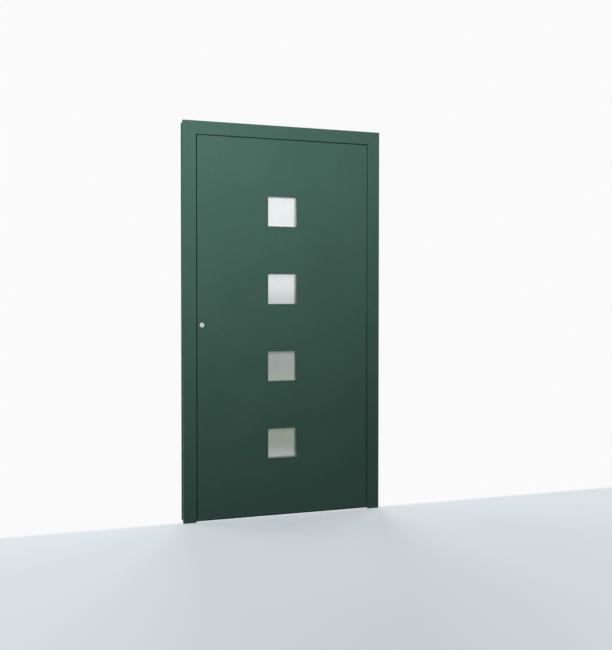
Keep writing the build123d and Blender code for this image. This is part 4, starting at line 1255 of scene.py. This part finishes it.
@dataclass(frozen=True)
class LockFittings:
    """The visible trim of the key cylinder, the forend and the strikes."""

    shop: Workshop
    groove_y: float = 0.00725
    leaf_edge: float = -0.496
    rebate: float = -0.501
    sunk: float = 0.0004
    forend_screws: tuple[float, ...] = (0.222, 0.330, 1.766, 1.894)
    strike_screws: tuple[float, ...] = (0.340, 0.440, 1.025, 1.199, 1.656, 1.756)
    collar_radius: float = 0.0123
    collar_bore: float = 0.01105
    collar_rise: float = 0.002
    collar_side: float = 0.35
    collar_sides: int = 72
    crown_points: int = 9

    def collar(self) -> None:
        """A thin ring with a rounded crown round the cylinder: a half ellipse carried round."""
        inner, outer = self.collar_bore, self.collar_radius
        middle, half = (inner + outer) / 2, (outer - inner) / 2
        side = self.collar_rise * self.collar_side
        angle = np.linspace(0.0, np.pi, self.crown_points)
        rise = side + (self.collar_rise - side) * np.sin(angle)
        crown = np.column_stack((middle + half * np.cos(angle), rise))
        profile = np.vstack(([(inner, 0.0), (outer, 0.0)], crown, [(inner, 0.0)]))
        place = Turning((LOCK_X, FACE_Y, LOCK_Z), Axis.Y, -1)
        ring = place.revolve(profile, self.collar_sides)
        self.shop.piece("cylinder_ring", [ring], "leaf", Slot.NICKEL, ("cylinder_collar",))

    def plate_screws(self) -> None:
        """Small countersunk screws in the forend and in the strikes, flush with the plates."""
        leaf_x, frame_x = self.leaf_edge + self.sunk, self.rebate - self.sunk
        forend = [Turning((leaf_x, self.groove_y, z), Axis.X, -1) for z in self.forend_screws]
        strikes = [Turning((frame_x, self.groove_y, z), Axis.X) for z in self.strike_screws]
        small = {"head": 0.0029, "rise": 0.0003, "shank": 0.0024, "length": 0.010}
        recess = {"lobe": 0.0014, "deep": 0.0012, "sides": 36}
        for name, body, places in (("forend_screws", "leaf", forend), ("strike_screws", "frame", strikes)):
            grids = []
            for place in places:
                grids += Screw(place, **small, **recess).grids()
            self.shop.piece(name, grids, body, Slot.STAINLESS)

    def build(self) -> None:
        """Make the ring and the plate screws."""
        self.collar()
        self.plate_screws()


@dataclass(frozen=True)
class Threshold:
    """The two threshold rails with fluted tops, each an outline carried along the width."""

    shop: Workshop
    outer_y: Span = (FACE_Y, -0.014)
    outer_half: float = 0.4808
    inner_y: Span = (0.020, 0.040)
    inner_half: float = 0.5008
    height: float = 0.008
    nose: float = 0.006
    flute: float = 0.0011
    flute_pitch: float = 0.004
    fluted: Span = (0.12, 0.88)
    rounding: float = 0.0008
    steps: int = 121

    def outline(self, sides: Span, z_from: float) -> np.ndarray:
        """Outline of a rail, clockwise seen from +X.

        The top is a straight line less the cube of a sine with one flute to each pitch over its
        middle part, and its two corners are quarter circles.

        Args:
            sides: The y where the rail starts and ends.
            z_from: Height of the top where the rail starts; it ends at the threshold's height.

        Returns:
            An array of (y, z).
        """
        share = np.linspace(0.0, 1.0, self.steps)
        y = sides[0] + (sides[1] - sides[0]) * share
        count = round((sides[1] - sides[0]) / self.flute_pitch)
        middle = (share > self.fluted[0]) & (share < self.fluted[1])
        flutes = self.flute * np.abs(np.sin(share * np.pi * count)) ** 3
        to_side = np.minimum(y - sides[0], sides[1] - y)
        near = np.clip(1 - to_side / self.rounding, 0.0, 1.0)
        corners = self.rounding * (1 - np.sqrt(1 - near**2))
        z = z_from + (self.height - z_from) * share - np.where(middle, flutes, 0.0) - corners
        return np.vstack(([[sides[0], 0.0]], np.column_stack((y, z)), [[sides[1], 0.0]]))

    def rail(self, outline: np.ndarray, half: float) -> list[Grid]:
        """Carry an outline along x and close both ends with flat caps.

        Args:
            outline: An array of (y, z).
            half: Half the rail's length.

        Returns:
            The surfaces.
        """
        points = np.zeros((2, len(outline), 3))
        points[..., 0] = np.array([[-half], [half]])
        points[..., 1:] = outline
        floor = points * (1.0, 1.0, 0.0)
        left = Grid(np.stack((floor[0], points[0])))
        right = Grid(np.stack((points[1], floor[1])))
        return [Grid(points[::-1], close_columns=True), left, right]

    def build(self) -> None:
        """Make both rails as one piece."""
        outer = self.rail(self.outline(self.outer_y, self.nose), self.outer_half)
        inner = self.rail(self.outline(self.inner_y, self.height), self.inner_half)
        self.shop.piece("threshold_fluted", outer + inner, "frame", Slot.ANODISED, ("threshold_rails",))


@dataclass(frozen=True)
class Lamp:
    """A square soft lamp that shows neither to the camera nor in glossy surfaces."""

    name: str
    eye: Point
    aim: Point
    side: float
    watts: float

    def build(self) -> None:
        """Place the lamp at its eye, facing the point of its aim."""
        data = bpy.data.lights.new(self.name, "AREA")
        data.shape, data.size, data.energy = "SQUARE", self.side, self.watts
        lamp = bpy.data.objects.new(self.name, data)
        lamp.location = self.eye
        lamp.rotation_mode = "QUATERNION"
        lamp.rotation_quaternion = (Vector(self.aim) - Vector(self.eye)).to_track_quat("-Z", "Y")
        lamp.visible_camera = False
        lamp.visible_glossy = False
        bpy.context.scene.collection.objects.link(lamp)


@dataclass(frozen=True)
class Studio:
    """Floor, lamps, surroundings and camera.

    Spans named y are places in depth, those named away are distances from the origin, and those
    named slope are the z of a ray's direction.
    """

    image: tuple[int, int] = (612, 650)
    focal: float = 636.6
    centre: Pair = (250.0, 311.79)
    turn: Point = (13.748, 0.868, -0.040)
    eye: Point = (-0.9977, -3.3307, 1.1562)
    sensor: float = 36.0

    floor_radius: float = 12.0
    floor_sides: int = 96
    floor_drop: float = 0.0005
    paper: Colour = (0.955, 0.955, 0.955)
    floor_near: Colour = (0.715, 0.775, 0.805)
    floor_unseen: Colour = (0.05, 0.05, 0.045)
    backdrop_y: Span = (-0.05, 0.0)
    backdrop_away: Span = (4.5, 10.0)
    lit_away: Span = (2.6, 0.9)
    lit_share: float = 0.40
    mirrored_y: Span = (0.0, -0.8)
    mirrored_away: Span = (1.2, 1.8)
    line_away: Span = (6.0, 8.0)

    low_tone: Colour = (0.195, 0.295, 0.145)
    line_tone: Colour = (0.090, 0.130, 0.130)
    low_glow: Colour = (0.99, 1.08, 1.08)
    high_glow: Colour = (2.30, 2.35, 2.40)
    room_tone: Colour = (0.42, 0.43, 0.44)
    fill_tone: Colour = (0.80, 0.88, 0.92)
    fill_strength: float = 0.025
    line_slope: Span = (-0.125, -0.100)
    level_slope: Span = (-0.03, 0.035)
    glow_slope: Span = (0.17, 0.42)
    room_slope: Span = (0.10, 0.42)
    front_y: Span = (-0.10, -0.35)

    lamps: tuple[Lamp, ...] = (
        Lamp("front_lamp", (-1.15, -3.1, 2.8), (-1.15, 0.0, 4.5), 3.0, 238.0),
        Lamp("back_lamp", (0.5, 3.8, 2.9), (0.0, 0.0, 1.1), 2.6, 170.0),
        Lamp("left_lamp", (-3.6, 1.9, 2.4), (-0.3, 0.0, 1.1), 2.2, 95.0),
        Lamp("right_lamp", (3.6, 1.9, 2.4), (0.3, 0.0, 1.1), 2.2, 95.0),
    )

    def camera(self) -> None:
        """Place the camera at the photograph's eye, with its direction and frame."""
        data = bpy.data.cameras.new("camera")
        long_side = max(self.image)
        data.sensor_width = self.sensor
        data.lens = self.focal * self.sensor / long_side
        data.shift_x = (self.image[0] / 2 - self.centre[0]) / long_side
        data.shift_y = (self.centre[1] - self.image[1] / 2) / long_side
        camera = bpy.data.objects.new("camera", data)
        yaw, pitch, roll = (math.radians(angle) for angle in self.turn)
        level = math.cos(pitch)
        aim = Vector((math.sin(yaw) * level, math.cos(yaw) * level, -math.sin(pitch)))
        look = aim.to_track_quat("-Z", "Y").to_matrix().to_4x4()
        camera.matrix_world = Matrix.Translation(self.eye) @ look @ Matrix.Rotation(roll, 4, "Z")
        bpy.context.scene.collection.objects.link(camera)
        bpy.context.scene.camera = camera

    def sight(self, graph: Graph) -> tuple[Socket, Socket]:
        """Sort the rays by what they did before.

        Args:
            graph: The graph of the floor or of the surroundings.

        Returns:
            A mask of rays that look straight or through glass, and one of mirrored rays.
        """
        ray = graph.add("ShaderNodeLightPath").outputs
        turned = graph.math("GREATER_THAN", ray["Glossy Depth"], 0.5)
        through = graph.math("MULTIPLY", ray["Is Transmission Ray"], graph.math("SUBTRACT", 1.0, turned))
        bounced = graph.math("MULTIPLY", ray["Is Transmission Ray"], turned)
        straight = graph.math("MAXIMUM", ray["Is Camera Ray"], through)
        return straight, graph.math("MAXIMUM", ray["Is Glossy Ray"], bounced)

    def choose(self, graph: Graph, factor: Socket, first: Socket, second: Socket) -> Socket:
        """Mix two shaders.

        Args:
            graph: The graph of the floor or of the surroundings.
            factor: 0 gives the first shader and 1 the second.
            first: The first shader's output.
            second: The second shader's output.

        Returns:
            The socket of the mixed shader.
        """
        return graph.add("ShaderNodeMixShader", {0: factor, 1: first, 2: second}).outputs[0]

    def floor_material(self) -> Material:
        """Pale floor that fades to the backdrop's white behind the door, with soft shadows.

        Near the door a share of what the camera sees is lit and the rest is a steady glow, so
        that the floor stays even and keeps a shadow.

        Returns:
            The material.
        """
        material = bpy.data.materials.new("floor")
        material.use_nodes = True
        material.node_tree.nodes.clear()
        graph = Graph(material.node_tree)
        straight, turned = self.sight(graph)
        at = graph.place()
        y = graph.parts(at)[1]
        away = graph.vector("LENGTH", at, out="Value")

        behind, far = graph.ramp(y, *self.backdrop_y), graph.ramp(away, *self.backdrop_away)
        white = graph.math("MAXIMUM", behind, far)
        seen = graph.mix(white, self.floor_near, self.paper)
        glow = graph.add("ShaderNodeEmission", {"Color": seen, "Strength": 1.0}).outputs[0]
        lit = graph.add("ShaderNodeBsdfDiffuse", {"Color": seen}).outputs[0]
        near = graph.ramp(away, *self.lit_away, (0.0, self.lit_share))
        shown = self.choose(graph, graph.math("MULTIPLY", near, graph.ramp(white, 1.0, 0.0)), glow, lit)

        outside = graph.ramp(y, *self.mirrored_y)
        outside = graph.math("MULTIPLY", outside, graph.ramp(away, *self.mirrored_away))
        deep = graph.mix(graph.ramp(away, *self.line_away), self.low_tone, self.line_tone)
        tone = graph.mix(outside, self.floor_near, deep)
        mirrored = graph.add("ShaderNodeEmission", {"Color": tone}).outputs[0]
        unseen = graph.add("ShaderNodeBsdfDiffuse", {"Color": self.floor_unseen}).outputs[0]
        other = self.choose(graph, turned, unseen, mirrored)
        graph.add("ShaderNodeOutputMaterial", {"Surface": self.choose(graph, straight, other, shown)})
        return material

    def floor(self) -> None:
        """A round floor just under the door."""
        angle = np.linspace(0, FULL_TURN, self.floor_sides, endpoint=False)
        level = np.full(self.floor_sides, -self.floor_drop)
        rim = np.column_stack((self.floor_radius * np.cos(angle), self.floor_radius * np.sin(angle), level))
        mesh = bpy.data.meshes.new("floor")
        mesh.from_pydata(rim.tolist(), [], [list(range(self.floor_sides))])
        mesh.materials.append(self.floor_material())
        obj = bpy.data.objects.new("floor", mesh)
        bpy.context.scene.collection.objects.link(obj)

    def surroundings(self) -> None:
        """White when looked at; bright over a dark line and a deep tone when mirrored from the front."""
        world = bpy.data.worlds.new("surroundings")
        bpy.context.scene.world = world
        world.use_nodes = True
        world.node_tree.nodes.clear()
        graph = Graph(world.node_tree)
        straight, turned = self.sight(graph)
        _, y, slope = graph.parts(graph.add("ShaderNodeTexCoord").outputs["Generated"])

        lower = graph.mix(graph.ramp(slope, *self.line_slope), self.low_tone, self.line_tone)
        upper = graph.mix(graph.ramp(slope, *self.glow_slope), self.low_glow, self.high_glow)
        front = graph.mix(graph.ramp(slope, *self.level_slope), lower, upper)
        steep = graph.ramp(graph.math("ABSOLUTE", slope), *self.room_slope)
        room = graph.mix(steep, self.room_tone, self.paper)
        mirrored = graph.mix(graph.ramp(y, *self.front_y), room, front)

        tones = ((self.fill_tone, self.fill_strength), (mirrored, 1.0), (self.paper, 1.0))
        inputs = [{"Color": tone, "Strength": strength} for tone, strength in tones]
        fill, shine, white = (graph.add("ShaderNodeBackground", each).outputs[0] for each in inputs)
        other = self.choose(graph, turned, fill, shine)
        graph.add("ShaderNodeOutputWorld", {"Surface": self.choose(graph, straight, other, white)})

    def build(self) -> None:
        """Camera, floor, surroundings and lamps."""
        self.camera()
        self.floor()
        self.surroundings()
        for lamp in self.lamps:
            lamp.build()
        bpy.context.scene.view_settings.view_transform = "Standard"


def dress_nodes(frame: dict, materials: dict[Slot, Material]) -> None:
    """Give every CAD node the material of its slot, and let lamps shine through clear panes.

    The lever and the turned roses have their own kinds of stainless steel, and the frame's
    profiles have a coat with hairline joints in the corners.

    Args:
        materials: The materials by slot.
    """
    handle_spun = SpunSteel().make()
    mitred = GreenCoat(mitred=True).make()
    lock_spun = SpunSteel(centre=(LOCK_X, 0.0, LOCK_Z)).make()
    special = {
        "lever_handle": LeverSteel().make(),
        "lever_rose": handle_spun,
        "thumb_turn_rose": lock_spun,
        "thumb_turn": lock_spun,
        "lock_jamb": mitred,
        "hinge_jamb": mitred,
        "head": mitred,
    }
    for part in frame["record"]["subparts"]:
        node = frame["nodes"].get(part["node"])
        if node is None:
            continue
        slot = Slot(part["material_slot"])
        node.data.materials.clear()
        node.data.materials.append(special.get(part["node"], materials[slot]))
        if slot is Slot.CLEAR_GLASS:
            node.visible_diffuse = False
        node.visible_shadow = part["node"] not in UNSHADED
        LOG.info("node %s: %s", part["node"], slot.value)


def main() -> None:
    """Load the frame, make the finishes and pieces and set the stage."""
    logging.basicConfig(level=logging.INFO, format="%(message)s")
    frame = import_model()
    for effect in (CoatSkin(), DrawLines(), SoftEdges(), Dust(), Scuffs(), Mitre()):
        effect.build()
    finishes = (
        GreenCoat(), BareMetal(), Anodised(), Stainless(), LockSteel(), Nickel(),
        Polyamide(), SealRubber(), ClearGlass(), SatinGlass(), SpacerFoil(), CoreFoam(),
    )
    materials = {finish.slot: finish.make() for finish in finishes}
    dress_nodes(frame, materials)
    shop = Workshop(materials)
    for assembly in (HingeFittings(shop), LockFittings(shop), Threshold(shop), Studio()):
        assembly.build()
        LOG.info("built %s", type(assembly).__name__)


if __name__ == "__main__":
    main()
